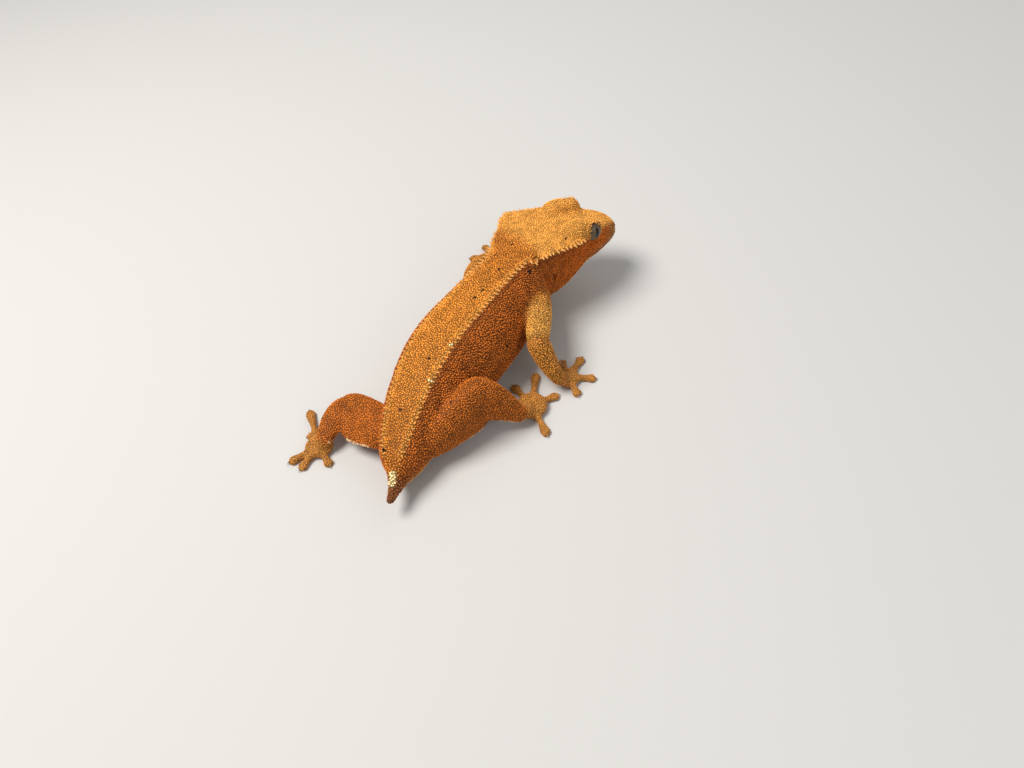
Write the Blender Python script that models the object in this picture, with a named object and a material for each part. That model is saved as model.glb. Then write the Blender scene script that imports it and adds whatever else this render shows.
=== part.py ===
"""A crested gecko without a tail, life size, crouching on a flat floor with its head turned to its right.

The animal faces -Y, its left side is at +X and the floor is at Z = 0. Places and sizes are in millimetres,
measured from a point on the floor under the pelvis, and the finished pieces are scaled to metres at the end.
Each piece of flesh is a loft. One that grows from another is cut clear of it by a thin gap, so that the
two meet face to face.
"""

import math
import random

import bmesh
import bpy
from mathutils import Matrix, Vector
from mathutils.bvhtree import BVHTree

MM = 0.001
GAP = 0.32

# The trunk, from the tip of the stump to inside the head: centre x, y, z, heading, then from the centre the
# half width, the level of the widest line, the belly's depth, the crest's distance out, the crest's height
# and the height of the midline
TRUNK_STATIONS = (
    (-4.9, 18.8, 5.6, 16, 0.8, 0.0, 0.8, 0.4, 0.6, 0.8),
    (-4.2, 15.6, 5.9, 16, 1.8, -0.4, 2.0, 0.9, 1.6, 1.9),
    (-3.2, 12.4, 6.2, 15, 3.2, -0.8, 3.6, 1.7, 3.2, 3.6),
    (-1.8, 9.0, 6.7, 13, 4.9, -1.2, 5.2, 2.4, 4.0, 4.6),
    (-0.6, 4.5, 7.2, 10, 6.6, -1.6, 6.4, 3.3, 5.0, 5.7),
    (0.1, -1.0, 8.0, 4, 8.2, -1.8, 7.4, 4.2, 6.8, 7.4),
    (0.3, -8.0, 9.0, 0, 9.8, -2.0, 8.3, 5.0, 8.8, 9.4),
    (0.2, -16.0, 10.0, -2, 11.4, -2.2, 9.2, 5.6, 10.0, 10.7),
    (-0.1, -24.0, 10.8, -6, 12.3, -2.2, 9.8, 5.8, 9.9, 10.7),
    (-1.4, -32.0, 11.8, -10, 12.0, -2.2, 10.2, 5.6, 9.6, 10.3),
    (-3.0, -40.0, 13.0, -11, 10.9, -2.4, 10.6, 5.4, 9.4, 9.9),
    (-4.2, -47.0, 14.2, -9, 9.8, -2.6, 10.8, 5.4, 8.5, 8.9),
    (-3.6, -51.5, 14.4, -18, 10.4, -3.0, 11.2, 7.2, 7.6, 7.9),
    (-2.6, -55.5, 14.4, -28, 10.8, -3.4, 10.8, 9.4, 6.9, 7.2),
    (-1.8, -59.3, 14.2, -39, 9.0, -3.4, 9.2, 11.0, 5.8, 6.2),
)
TRUNK_ROLL = -11.0
TRUNK_STEPS = 3
# Steps of half a section: under the flank, flank to crest, and crest to midline
TRUNK_SIDES = (6, 4, 3)
BELLY_SQUARENESS = 2.2
FLANK_SQUARENESS = 1.9
# Where the loft is parted, in stations counted from the tip of the stump
PARTINGS = (("tail", 0.0, 3.0), ("abdomen", 3.0, 8.5), ("chest", 8.5, 12.25), ("neck", 12.25, 14.0))

# The head's own frame starts over the tip of the snout, level with the crown
SNOUT = Vector((-18.9, -81.0, 20.8))
HEAD_YAW = -39.7
HEAD_PITCH = 2.0
HEAD_ROLL = -6.9
# Head sections, from the snout back: distance behind the tip, half width, level of the widest line, throat,
# the crest's distance out and its height, the crown, and the depth of the mouth's groove
HEAD_STATIONS = (
    (0.0, 1.2, -6.2, -7.2, 0.9, -5.4, -5.3, 0.1),
    (0.8, 2.9, -6.3, -8.5, 2.2, -4.2, -3.8, 0.3),
    (2.4, 4.2, -6.4, -9.4, 3.6, -3.3, -2.7, 0.4),
    (5.2, 5.7, -6.5, -10.4, 5.4, -2.6, -1.6, 0.5),
    (8.4, 6.9, -6.6, -11.6, 7.2, -2.2, -1.0, 0.5),
    (11.8, 8.0, -6.4, -12.4, 9.0, -1.8, -0.4, 0.5),
    (15.2, 9.4, -7.4, -14.2, 10.6, -1.4, 0.1, 0.5),
    (19.0, 10.9, -8.6, -15.9, 11.6, -1.0, 0.4, 0.25),
    (23.0, 12.0, -9.6, -17.1, 12.2, -0.6, 0.4, 0.0),
    (27.0, 12.2, -10.0, -17.4, 12.8, -0.5, 0.2, 0.0),
    (30.0, 10.6, -9.6, -16.4, 10.6, -1.7, -0.9, 0.0),
    (32.4, 7.6, -8.2, -13.8, 7.4, -3.6, -2.8, 0.0),
)
HEAD_TIP = (-0.25, -6.2)
HEAD_REAR = (33.8, -8.0)
HEAD_STEPS = 3
HEAD_SIDES = (6, 5, 5)
JAW_SQUARENESS = 2.5
CHEEK_SQUARENESS = 1.7
MOUTH_ANGLE = -20.0
MOUTH_HALF_ANGLE = 3.0

EYE_BACK = 10.2
EYE_OUT = 6.5
EYE_LEVEL = -1.4
EYE_RADIUS = 2.9
# The bulge over each eye: its centre in the head's frame and its half sizes
BROW = (13.0, 6.2, -0.9)
BROW_SIZE = (5.4, 3.7, 3.1)

EAR_BACK = 23.0
EAR_OUT = 10.4
EAR_LEVEL = -9.2
EAR_SIZE = (0.8, 0.9, 1.7)

NOSTRIL_BACK = 1.6
NOSTRIL_OUT = 2.6
NOSTRIL_LEVEL = -5.0
NOSTRIL_RADIUS = 0.5


def side_and_up(forward, roll):
    """The leftward and upward axes of a section whose plane is square to forward."""
    side = Vector((0, 0, 1)).cross(forward).normalized()
    up = forward.cross(side)
    turn = math.radians(roll)
    return side * math.cos(turn) + up * math.sin(turn), up * math.cos(turn) - side * math.sin(turn)


def between(stations, place):
    """The stations' values at a place counted in stations, on a smooth curve through them."""
    last = len(stations) - 1
    index = min(int(place), last - 1)
    t = place - index
    rows = [stations[max(0, min(last, index + k))] for k in (-1, 0, 1, 2)]
    values = []
    for a, b, c, d in zip(*rows):
        values.append(b + 0.5 * t * (c - a + t * (2 * a - 5 * b + 4 * c - d + t * (3 * (b - c) + d - a))))
    return values


def half_section(steps, lower, upper, shape):
    """Points (out, up) of half a section, from the belly's midline over the side to the back's midline.

    The lower curve runs from the belly to the widest line, the upper one from there to the crest, and a flat
    arch from the crest to the midline.
    """
    width, level, bottom, crest_out, crest_up, crown = shape
    under, flank, top = steps
    points = []
    for i in range(under):
        turn = math.pi / 2 * i / under
        points.append((width * math.sin(turn) ** (2 / lower),
                       level + (bottom - level) * math.cos(turn) ** (2 / lower)))
    for i in range(flank):
        turn = math.pi / 2 * i / flank
        points.append((crest_out + (width - crest_out) * math.cos(turn) ** (2 / upper),
                       level + (crest_up - level) * math.sin(turn) ** (2 / upper)))
    for i in range(top + 1):
        turn = math.pi / 2 * i / top
        points.append((crest_out * math.cos(turn), crest_up + (crown - crest_up) * math.sin(turn)))
    points[-1] = (0.0, crown)
    return points


def whole_section(half):
    """The half section and its mirror image, as one closed row of points."""
    return half + [(-out, up) for out, up in reversed(half[1:-1])]


def loft(rings, start=None, end=None):
    """A closed mesh through rings of the same number of points, closed at the ends by a point or a fan."""
    mesh = bmesh.new()
    rows = [[mesh.verts.new(p) for p in ring] for ring in rings]
    count = len(rows[0])
    for first, second in zip(rows, rows[1:]):
        for i in range(count):
            j = (i + 1) % count
            mesh.faces.new((first[i], first[j], second[j], second[i]))
    for row, tip, flip in ((rows[0], start, True), (rows[-1], end, False)):
        middle = tip if tip is not None else sum((v.co for v in row), Vector()) / count
        centre = mesh.verts.new(middle)
        for i in range(count):
            j = (i + 1) % count
            mesh.faces.new((centre, row[j], row[i]) if flip else (centre, row[i], row[j]))
    bmesh.ops.triangulate(mesh, faces=mesh.faces)
    mesh.normal_update()
    bmesh.ops.recalc_face_normals(mesh, faces=mesh.faces)
    return mesh


def make_object(name, mesh):
    data = bpy.data.meshes.new(name)
    mesh.to_mesh(data)
    mesh.free()
    piece = bpy.data.objects.new(name, data)
    bpy.context.scene.collection.objects.link(piece)
    return piece


def remove_object(piece):
    data = piece.data
    bpy.data.objects.remove(piece)
    bpy.data.meshes.remove(data)


def apply_modifiers(piece):
    graph = bpy.context.evaluated_depsgraph_get()
    result = bpy.data.meshes.new_from_object(piece.evaluated_get(graph))
    piece.modifiers.clear()
    old = piece.data
    piece.data = result
    bpy.data.meshes.remove(old)


def boolean(piece, other, operation):
    """Apply one Boolean to the piece. MANIFOLD is used because EXACT leaves slivers on these soft forms."""
    modifier = piece.modifiers.new("boolean", "BOOLEAN")
    modifier.operation = operation
    modifier.object = other
    modifier.solver = "MANIFOLD"
    apply_modifiers(piece)


def surface_of(piece):
    mesh = bmesh.new()
    mesh.from_mesh(piece.data)
    tree = BVHTree.FromBMesh(mesh)
    mesh.free()
    return tree


def inflated(piece, distance):
    """A copy of the piece, grown by the distance all round."""
    mesh = bmesh.new()
    mesh.from_mesh(piece.data)
    mesh.normal_update()
    moved = [v.co + v.normal * distance for v in mesh.verts]
    for vert, place in zip(mesh.verts, moved):
        vert.co = place
    return make_object("clearance", mesh)


def cut_clear(piece, *neighbours):
    """Cut the piece clear of its neighbours by the gap."""
    for neighbour in neighbours:
        tool = inflated(neighbour, GAP)
        boolean(piece, tool, "DIFFERENCE")
        remove_object(tool)


def keep_largest(piece):
    """Keep only the piece's largest closed surface."""
    mesh = bmesh.new()
    mesh.from_mesh(piece.data)
    bmesh.ops.triangulate(mesh, faces=mesh.faces)
    left = set(mesh.verts)
    groups = []
    while left:
        seed = left.pop()
        group = {seed}
        edge = [seed]
        while edge:
            vert = edge.pop()
            for link in vert.link_edges:
                other = link.other_vert(vert)
                if other in left:
                    left.remove(other)
                    group.add(other)
                    edge.append(other)
        groups.append(group)
    groups.sort(key=len)
    loose = [v for group in groups[:-1] for v in group]
    bmesh.ops.delete(mesh, geom=loose, context="VERTS")
    mesh.to_mesh(piece.data)
    mesh.free()


# The trunk and neck

def trunk_ring(place):
    x, y, z, heading, width, level, depth, crest_out, crest_up, crown = between(TRUNK_STATIONS, place)
    turn = math.radians(heading)
    side, up = side_and_up(Vector((math.sin(turn), -math.cos(turn), 0)), TRUNK_ROLL)
    shape = (width, level, -depth, crest_out, crest_up, crown)
    half = half_section(TRUNK_SIDES, BELLY_SQUARENESS, FLANK_SQUARENESS, shape)
    return [Vector((x, y, z)) + side * out + up * high for out, high in whole_section(half)]


def station_spacing(index):
    """The distance from one trunk station to the next."""
    return (Vector(TRUNK_STATIONS[index][:3]) - Vector(TRUNK_STATIONS[index + 1][:3])).length


def trunk_piece(name, start, end):
    """A length of the trunk between two places, half a gap short of each parting."""
    last = float(len(TRUNK_STATIONS) - 1)
    first = start + (GAP / 2 / station_spacing(int(start)) if start > 0 else 0.0)
    final = end - (GAP / 2 / station_spacing(math.ceil(end) - 1) if end < last else 0.0)
    count = max(2, round((end - start) * TRUNK_STEPS))
    places = [first + (final - first) * i / count for i in range(count + 1)]
    return make_object(name, loft([trunk_ring(p) for p in places]))


# The head

def head_axes():
    yaw, pitch, roll = (math.radians(a) for a in (HEAD_YAW, HEAD_PITCH, HEAD_ROLL))
    forward = Matrix.Rotation(yaw, 3, "Z") @ Vector((0, -1, 0))
    side = Matrix.Rotation(yaw, 3, "Z") @ Vector((1, 0, 0))
    level = forward * math.cos(pitch) - Vector((0, 0, 1)) * math.sin(pitch)
    up = forward * math.sin(pitch) + Vector((0, 0, 1)) * math.cos(pitch)
    return level, side * math.cos(roll) + up * math.sin(roll), up * math.cos(roll) - side * math.sin(roll)


def head_place(back, left, up):
    forward, side, top = head_axes()
    return SNOUT - forward * back + side * left + top * up


def head_ring(place):
    back, width, level, throat, crest_out, crest_up, crown, groove = between(HEAD_STATIONS, place)
    shape = (width, level, throat, crest_out, crest_up, crown)
    half = half_section(HEAD_SIDES, JAW_SQUARENESS, CHEEK_SQUARENESS, shape)
    lips = []
    for offset, dent in ((-MOUTH_HALF_ANGLE, 0.0), (0.0, groove), (MOUTH_HALF_ANGLE, 0.0)):
        turn = math.radians(90.0 + MOUTH_ANGLE + offset)
        lips.append((width * math.sin(turn) ** (2 / JAW_SQUARENESS) - dent,
                     level + (throat - level) * math.cos(turn) ** (2 / JAW_SQUARENESS)))
    under = HEAD_SIDES[0]
    kept = [i for i in range(under) if abs(90.0 * i / under - 90.0 - MOUTH_ANGLE) > MOUTH_HALF_ANGLE * 2]
    half = [half[i] for i in kept] + lips + half[under:]
    return [head_place(back, out, high) for out, high in whole_section(half)]


def head_rings():
    count = (len(HEAD_STATIONS) - 1) * HEAD_STEPS
    return [head_ring(i / HEAD_STEPS) for i in range(count + 1)]


def ball(name, centre, size, axes, subdivisions=2):
    """A closed ball, stretched to the sizes along the three axes."""
    mesh = bmesh.new()
    bmesh.ops.create_icosphere(mesh, subdivisions=subdivisions, radius=1.0)
    for vert in mesh.verts:
        x, y, z = (vert.co[k] * size[k] for k in range(3))
        vert.co = centre + axes[0] * x + axes[1] * y + axes[2] * z
    mesh.normal_update()
    bmesh.ops.recalc_face_normals(mesh, faces=mesh.faces)
    return make_object(name, mesh)


# The teeth of the crests. The largest stand along the head and neck, and they shrink towards the pelvis

TOOTH_SIDES = 5
TOOTH_SINK = 0.7
TOOTH_CLEARANCE = 0.9
TOOTH_SEED = 7
# Pitch along the crest, length, and radius at the root
HEAD_TEETH = (1.6, 1.15, 0.5)
BACK_TEETH = (2.2, 0.7, 0.45)
LASH_TEETH = (1.2, 1.0, 0.42)
HEAD_CREST = (5.4, 10.1)
BACK_CREST = (3.2, 14.0)
# The lashes over each eye: their span round the brow, in degrees from its front end
LASH_SPAN = (35.0, 150.0)
LASH_LEVEL = 0.45


def crest_of_head(hand):
    """Points and outward directions along the head's crest, front to back."""
    axes = head_axes()
    path = []
    for i in range(200):
        place = HEAD_CREST[0] + (HEAD_CREST[1] - HEAD_CREST[0]) * i / 199
        back, width, level, throat, crest_out, crest_up, crown, groove = between(HEAD_STATIONS, place)
        path.append((head_place(back, hand * crest_out, crest_up), axes[1] * hand + axes[2] * 0.25))
    return path


def crest_of_back(hand):
    """Points and outward directions along the crest of the neck and back, back to front."""
    path = []
    for i in range(400):
        place = BACK_CREST[0] + (BACK_CREST[1] - BACK_CREST[0]) * i / 399
        x, y, z, heading, width, level, depth, crest_out, crest_up, crown = between(TRUNK_STATIONS, place)
        turn = math.radians(heading)
        side, up = side_and_up(Vector((math.sin(turn), -math.cos(turn), 0)), TRUNK_ROLL)
        path.append((Vector((x, y, z)) + side * (hand * crest_out) + up * crest_up, side * hand + up * 0.7))
    return path


def lashes_of_eye(hand):
    """Points and outward directions round the upper rim of the brow, front to back."""
    axes = head_axes()
    path = []
    for i in range(100):
        turn = math.radians(LASH_SPAN[0] + (LASH_SPAN[1] - LASH_SPAN[0]) * i / 99)
        rim = math.sqrt(1 - LASH_LEVEL ** 2)
        back = -math.cos(turn) * rim
        out = math.sin(turn) * rim
        place = head_place(BROW[0] + BROW_SIZE[0] * back, hand * (BROW[1] + BROW_SIZE[1] * out),
                           BROW[2] + BROW_SIZE[2] * LASH_LEVEL)
        path.append((place, axes[1] * (hand * out) - axes[0] * back + axes[2] * 0.5))
    return path


def tooth(root, direction, length, radius):
    """A pointed cone whose root is sunk into the skin."""
    forward = direction.normalized()
    side = forward.orthogonal().normalized()
    across = forward.cross(side)
    base = root - forward * TOOTH_SINK
    ring = []
    for k in range(TOOTH_SIDES):
        turn = 2 * math.pi * k / TOOTH_SIDES
        ring.append(base + (side * math.cos(turn) + across * math.sin(turn)) * radius)
    return make_object("tooth", loft([ring], base, root + forward * length))


def add_teeth(piece, rows, others):
    """Fuse rows of teeth to the piece, leaving out those too near another piece."""
    draw = random.Random(TOOTH_SEED)
    own = surface_of(piece)
    near = [surface_of(other) for other in others]
    group = bpy.data.collections.new("teeth")
    bpy.context.scene.collection.children.link(group)
    for path, (pitch, length, radius) in rows:
        walked = 0.0
        wanted = pitch
        for (before, _), (root, direction) in zip(path, path[1:]):
            walked += (root - before).length
            if walked < wanted:
                continue
            walked = 0.0
            wanted = pitch * draw.uniform(0.9, 1.1)
            size = draw.uniform(0.85, 1.1)
            lean = Vector((draw.uniform(-0.12, 0.12) for _ in range(3)))
            tip = root + direction.normalized() * length
            if own.find_nearest(root)[3] > 0.5:
                continue
            if any(min(s.find_nearest(p)[3] for p in (root, tip)) < TOOTH_CLEARANCE for s in near):
                continue
            cone = tooth(root, direction.normalized() + lean, length * size, radius)
            bpy.context.scene.collection.objects.unlink(cone)
            group.objects.link(cone)
    modifier = piece.modifiers.new("teeth", "BOOLEAN")
    modifier.operation = "UNION"
    modifier.operand_type = "COLLECTION"
    modifier.collection = group
    modifier.solver = "MANIFOLD"
    apply_modifiers(piece)
    for cone in list(group.objects):
        remove_object(cone)
    bpy.data.collections.remove(group)


def eye_centre(hand):
    return head_place(EYE_BACK, hand * EYE_OUT, EYE_LEVEL)


def make_head():
    head = make_object("head", loft(head_rings(), head_place(HEAD_TIP[0], 0, HEAD_TIP[1]),
                                    head_place(HEAD_REAR[0], 0, HEAD_REAR[1])))
    axes = head_axes()
    for hand in (1, -1):
        brow = ball("brow", head_place(BROW[0], hand * BROW[1], BROW[2]), BROW_SIZE, axes, 3)
        boolean(head, brow, "UNION")
        remove_object(brow)
    for hand in (1, -1):
        radius = EYE_RADIUS + GAP
        socket = ball("socket", eye_centre(hand), (radius,) * 3, axes, 3)
        ear = ball("ear", head_place(EAR_BACK, hand * EAR_OUT, EAR_LEVEL), EAR_SIZE, axes)
        nostril = ball("nostril", head_place(NOSTRIL_BACK, hand * NOSTRIL_OUT, NOSTRIL_LEVEL),
                       (NOSTRIL_RADIUS,) * 3, axes, 1)
        for tool in (socket, ear, nostril):
            boolean(head, tool, "DIFFERENCE")
            remove_object(tool)
    return head


def make_eye(name, hand):
    axes = head_axes()
    return ball(name, eye_centre(hand), (EYE_RADIUS,) * 3, axes, 3)


# The limbs. Each is a chain of stations: a place, the half width on the outer side and on the inner side
# of the bend, and the half thickness across the plane of the bend

LIMBS = {
    "right_arm": {
        "upper": ((-8.0, -49.4, 12.6, 4.8, 4.8, 4.4), (-12.0, -45.0, 13.0, 4.2, 4.2, 3.8),
                  (-15.8, -38.6, 13.6, 3.5, 3.5, 3.1), (-18.0, -33.4, 13.8, 3.0, 3.0, 2.7),
                  (-18.6, -31.6, 13.6, 2.3, 2.3, 2.2)),
        "lower": ((-18.2, -32.2, 13.8, 2.8, 2.8, 2.6), (-19.4, -31.6, 11.9, 3.1, 3.1, 2.8),
                  (-21.6, -30.8, 8.5, 2.8, 2.8, 2.5), (-23.7, -30.4, 5.2, 2.2, 2.2, 1.9),
                  (-24.6, -30.8, 3.4, 1.9, 1.9, 1.7)),
    },
    "left_arm": {
        "upper": ((1.4, -48.0, 11.6, 4.6, 4.6, 4.2), (5.0, -49.6, 10.0, 3.7, 3.7, 3.5),
                  (9.6, -52.4, 7.4, 3.0, 3.0, 2.8), (12.8, -54.2, 5.8, 2.7, 2.7, 2.5),
                  (13.8, -54.8, 5.2, 2.1, 2.1, 2.0)),
        "lower": ((13.2, -54.4, 5.6, 2.5, 2.5, 2.4), (14.0, -56.6, 5.2, 2.8, 2.8, 2.6),
                  (15.0, -60.6, 4.6, 2.5, 2.5, 2.3), (15.2, -64.8, 3.8, 2.0, 2.0, 1.8),
                  (14.9, -67.0, 3.2, 1.8, 1.8, 1.6)),
    },
    "right_leg": {
        "upper": ((-3.0, 3.0, 6.8, 4.8, 4.6, 3.6), (-6.6, -1.4, 8.2, 4.8, 6.0, 3.7),
                  (-9.6, -6.6, 11.2, 4.0, 8.6, 3.3), (-11.8, -11.0, 14.4, 3.2, 7.4, 2.9),
                  (-12.8, -13.4, 15.8, 2.2, 3.6, 2.2)),
        "lower": ((-12.4, -12.2, 15.2, 2.8, 6.0, 2.4), (-14.4, -13.2, 12.8, 3.0, 8.4, 2.6),
                  (-17.2, -14.6, 9.4, 2.7, 6.4, 2.3), (-20.0, -15.8, 5.4, 2.0, 3.2, 1.8),
                  (-21.2, -16.6, 3.6, 1.8, 1.9, 1.6)),
    },
    "left_leg": {
        "upper": ((3.0, 2.4, 6.4, 4.4, 5.0, 3.4), (7.6, 1.0, 6.4, 4.4, 7.0, 3.4),
                  (13.0, -0.6, 6.2, 3.8, 8.6, 3.1), (18.0, -1.6, 6.0, 3.2, 7.4, 2.8),
                  (21.0, -1.4, 5.6, 2.4, 4.0, 2.3)),
        "lower": ((19.6, -1.4, 5.6, 2.8, 5.0, 2.4), (21.2, 1.0, 5.4, 3.0, 5.6, 2.6),
                  (21.8, 4.4, 4.8, 2.7, 4.4, 2.3), (21.4, 8.0, 3.8, 2.1, 2.8, 1.9),
                  (21.2, 10.0, 3.2, 1.8, 1.9, 1.6)),
    },
}
LIMB_SIDES = 14
LIMB_STEPS = 3
INNER_THINNING = 0.55
END_BULGE = 0.45


def bend_inward(limb):
    """The direction from a limb's elbow or knee to the middle between its two ends."""
    root, joint, end = (Vector(p[:3]) for p in (limb["upper"][0], limb["lower"][0], limb["lower"][-1]))
    return (root + end) / 2 - joint


def limb_piece(name, stations, inward):
    """A lofted length of limb. Its inner half thins towards the edge, as the skin behind a bend does."""
    count = (len(stations) - 1) * LIMB_STEPS
    rings = []
    centres = [Vector(between(stations, i / LIMB_STEPS)[:3]) for i in range(count + 1)]
    for i in range(count + 1):
        x, y, z, outer, inner, thick = between(stations, i / LIMB_STEPS)
        before = centres[max(0, i - 1)]
        after = centres[min(count, i + 1)]
        forward = (after - before).normalized()
        across = (inward - forward * inward.dot(forward)).normalized()
        normal = forward.cross(across)
        ring = []
        for k in range(LIMB_SIDES):
            turn = 2 * math.pi * k / LIMB_SIDES
            reach = math.cos(turn)
            thinning = 1.0 - INNER_THINNING * max(0.0, reach) * max(0.0, inner / outer - 1.0)
            out = across * (reach * (inner if reach > 0 else outer))
            ring.append(centres[i] + out + normal * (math.sin(turn) * thick * thinning))
        rings.append(ring)
    start = centres[0] + (centres[0] - centres[1]).normalized() * (stations[0][5] * END_BULGE)
    end = centres[-1] + (centres[-1] - centres[-2]).normalized() * (stations[-1][5] * END_BULGE)
    return make_object(name, loft(rings, start, end))


# The feet

FEET = {
    "right_fore": {"wrist": (-24.7, -31.0, 3.2), "palm": (-25.6, -33.6, 1.2), "palm_size": (3.0, 3.0, 1.8),
                   "toes": ((-26.1, -41.9), (-32.0, -36.5), (-30.2, -29.6), (-21.4, -38.8), (-18.8, -34.4))},
    "left_fore": {"wrist": (14.9, -67.2, 3.2), "palm": (14.6, -69.8, 1.2), "palm_size": (3.0, 3.0, 1.8),
                  "toes": ((21.6, -67.2), (20.4, -74.0), (15.0, -78.2), (9.2, -76.0), (7.8, -69.8))},
    "right_hind": {"wrist": (-20.8, -17.4, 3.4), "palm": (-20.9, -21.6, 1.3), "palm_size": (4.0, 4.0, 2.0),
                   "toes": ((-13.3, -26.2), (-17.1, -32.2), (-25.4, -27.8), (-28.1, -15.2), (-14.2, -20.0))},
    "left_hind": {"wrist": (21.3, 9.6, 3.2), "palm": (22.6, 10.2, 1.3), "palm_size": (3.2, 3.6, 2.0),
                  "toes": ((32.4, 1.4), (27.8, 7.6), (27.2, 16.8), (23.4, 17.4), (17.2, 13.6))},
}
TOE_SIDES = 8
# A toe from its root to its tip, as a share of the length: half width and half height
TOE_PROFILE = ((0.0, 1.15, 1.1), (0.25, 0.95, 0.95), (0.5, 0.85, 0.85), (0.72, 1.15, 0.75), (0.88, 1.3, 0.65),
               (1.0, 0.8, 0.45))
CLAW_LENGTH = 0.9
CLAW_WIDTH = 0.45


def toe(root, tip):
    """A toe that lies on the floor, with a broad pad near its end and a small claw beyond it."""
    length = (tip - root).length
    forward = (tip - root).normalized()
    side = Vector((0, 0, 1)).cross(forward)
    rings = []
    for share, width, height in TOE_PROFILE:
        middle = root + forward * (length * share)
        ring = []
        for k in range(TOE_SIDES):
            turn = 2 * math.pi * (k + 0.5) / TOE_SIDES
            lift = height + math.sin(turn) * height * 1.15
            ring.append(Vector((middle.x, middle.y, max(0.0, lift))) + side * (math.cos(turn) * width))
        rings.append(ring)
    end = tip + forward * CLAW_LENGTH + Vector((0, 0, CLAW_WIDTH))
    return make_object("toe", loft(rings, None, end))


def foot_piece(name, data):
    palm = Vector(data["palm"])
    wrist = Vector(data["wrist"])
    width, length, height = data["palm_size"]
    forward = Vector((palm.x - wrist.x, palm.y - wrist.y, 0)).normalized()
    side = Vector((0, 0, 1)).cross(forward)
    mesh = bmesh.new()
    bmesh.ops.create_icosphere(mesh, subdivisions=2, radius=1.0)
    for vert in mesh.verts:
        x, y, z = vert.co
        place = palm + side * (x * width) + forward * (y * length)
        vert.co = (place.x, place.y, max(0.0, palm.z + z * height))
    mesh.normal_update()
    bmesh.ops.recalc_face_normals(mesh, faces=mesh.faces)
    foot = make_object(name, mesh)
    heel = wrist + (wrist - palm).normalized() * 0.8
    stations = ((*heel, 1.7, 1.7, 1.6), (*wrist, 1.9, 1.9, 1.7), (*(palm + Vector((0, 0, 0.3))), 2.0, 2.0, 1.3))
    joint = limb_piece("joint", stations, side)
    pieces = [joint]
    for x, y in data["toes"]:
        tip = Vector((x, y, 0))
        away = (tip - Vector((palm.x, palm.y, 0))).normalized()
        pieces.append(toe(Vector((palm.x, palm.y, 0)) + away * 1.0, tip))
    for piece in pieces:
        boolean(foot, piece, "UNION")
        remove_object(piece)
    return foot


# The colours of the parts

SKIN = (0.62, 0.22, 0.03)
SKINS = {"head": (0.68, 0.26, 0.04), "foot": (0.60, 0.29, 0.05), "eye": (0.05, 0.045, 0.04)}


def finish(piece):
    kind = "eye" if piece.name.startswith("eye") else "head" if piece.name == "head" else None
    kind = "foot" if "foot" in piece.name else kind
    material = bpy.data.materials.new(piece.name + "_finish")
    material.use_nodes = True
    shader = material.node_tree.nodes["Principled BSDF"]
    shader.inputs["Base Color"].default_value = (*SKINS.get(kind, SKIN), 1.0)
    shader.inputs["Roughness"].default_value = 0.15 if kind == "eye" else 0.7
    shader.inputs["Metallic"].default_value = 0.0
    piece.data.materials.append(material)


def build():
    for old in list(bpy.data.objects):
        bpy.data.objects.remove(old)
    head = make_head()
    eyes = [make_eye("eye_left", 1), make_eye("eye_right", -1)]
    trunk = {name: trunk_piece(name, start, end) for name, start, end in PARTINGS}
    cut_clear(trunk["neck"], head)
    cut_clear(trunk["chest"], head)
    pieces = [head, *eyes, *trunk.values()]
    for hand in ("left", "right"):
        arm = LIMBS[hand + "_arm"]
        leg = LIMBS[hand + "_leg"]
        upper_arm = limb_piece("upper_arm_" + hand, arm["upper"], bend_inward(arm))
        forearm = limb_piece("forearm_" + hand, arm["lower"], bend_inward(arm))
        fore_foot = foot_piece("forefoot_" + hand, FEET[hand + "_fore"])
        thigh = limb_piece("thigh_" + hand, leg["upper"], bend_inward(leg))
        shin = limb_piece("shin_" + hand, leg["lower"], bend_inward(leg))
        hind_foot = foot_piece("hindfoot_" + hand, FEET[hand + "_hind"])
        cut_clear(upper_arm, trunk["chest"], trunk["neck"], head)
        cut_clear(forearm, upper_arm)
        cut_clear(fore_foot, forearm)
        cut_clear(thigh, trunk["abdomen"], trunk["tail"])
        cut_clear(shin, thigh)
        cut_clear(hind_foot, shin)
        pieces += [upper_arm, forearm, fore_foot, thigh, shin, hind_foot]
    crests = {
        "head": [(crest_of_head(hand), HEAD_TEETH) for hand in (1, -1)]
        + [(lashes_of_eye(hand), LASH_TEETH) for hand in (1, -1)],
        "neck": [(crest_of_back(hand), HEAD_TEETH) for hand in (1, -1)],
        "chest": [(crest_of_back(hand), HEAD_TEETH) for hand in (1, -1)],
        "abdomen": [(crest_of_back(hand), BACK_TEETH) for hand in (1, -1)],
    }
    for piece in pieces:
        if piece.name in crests:
            add_teeth(piece, crests[piece.name], [other for other in pieces if other is not piece])
    for piece in pieces:
        keep_largest(piece)
    low = Vector(min(v.co[k] for p in pieces for v in p.data.vertices) for k in range(3))
    high = Vector(max(v.co[k] for p in pieces for v in p.data.vertices) for k in range(3))
    middle = Vector(((low.x + high.x) / 2, (low.y + high.y) / 2, low.z))
    for piece in pieces:
        piece.data.transform(Matrix.Translation(-middle))
        piece.data.transform(Matrix.Scale(MM, 4))
        finish(piece)


build()
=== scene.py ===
"""A crested gecko that has lost its tail, life size and crouching, finished as a museum model."""

import math

import bpy
import numpy as np
from mathutils import Matrix, Vector
from mathutils.bvhtree import BVHTree
from mathutils.kdtree import KDTree


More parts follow.
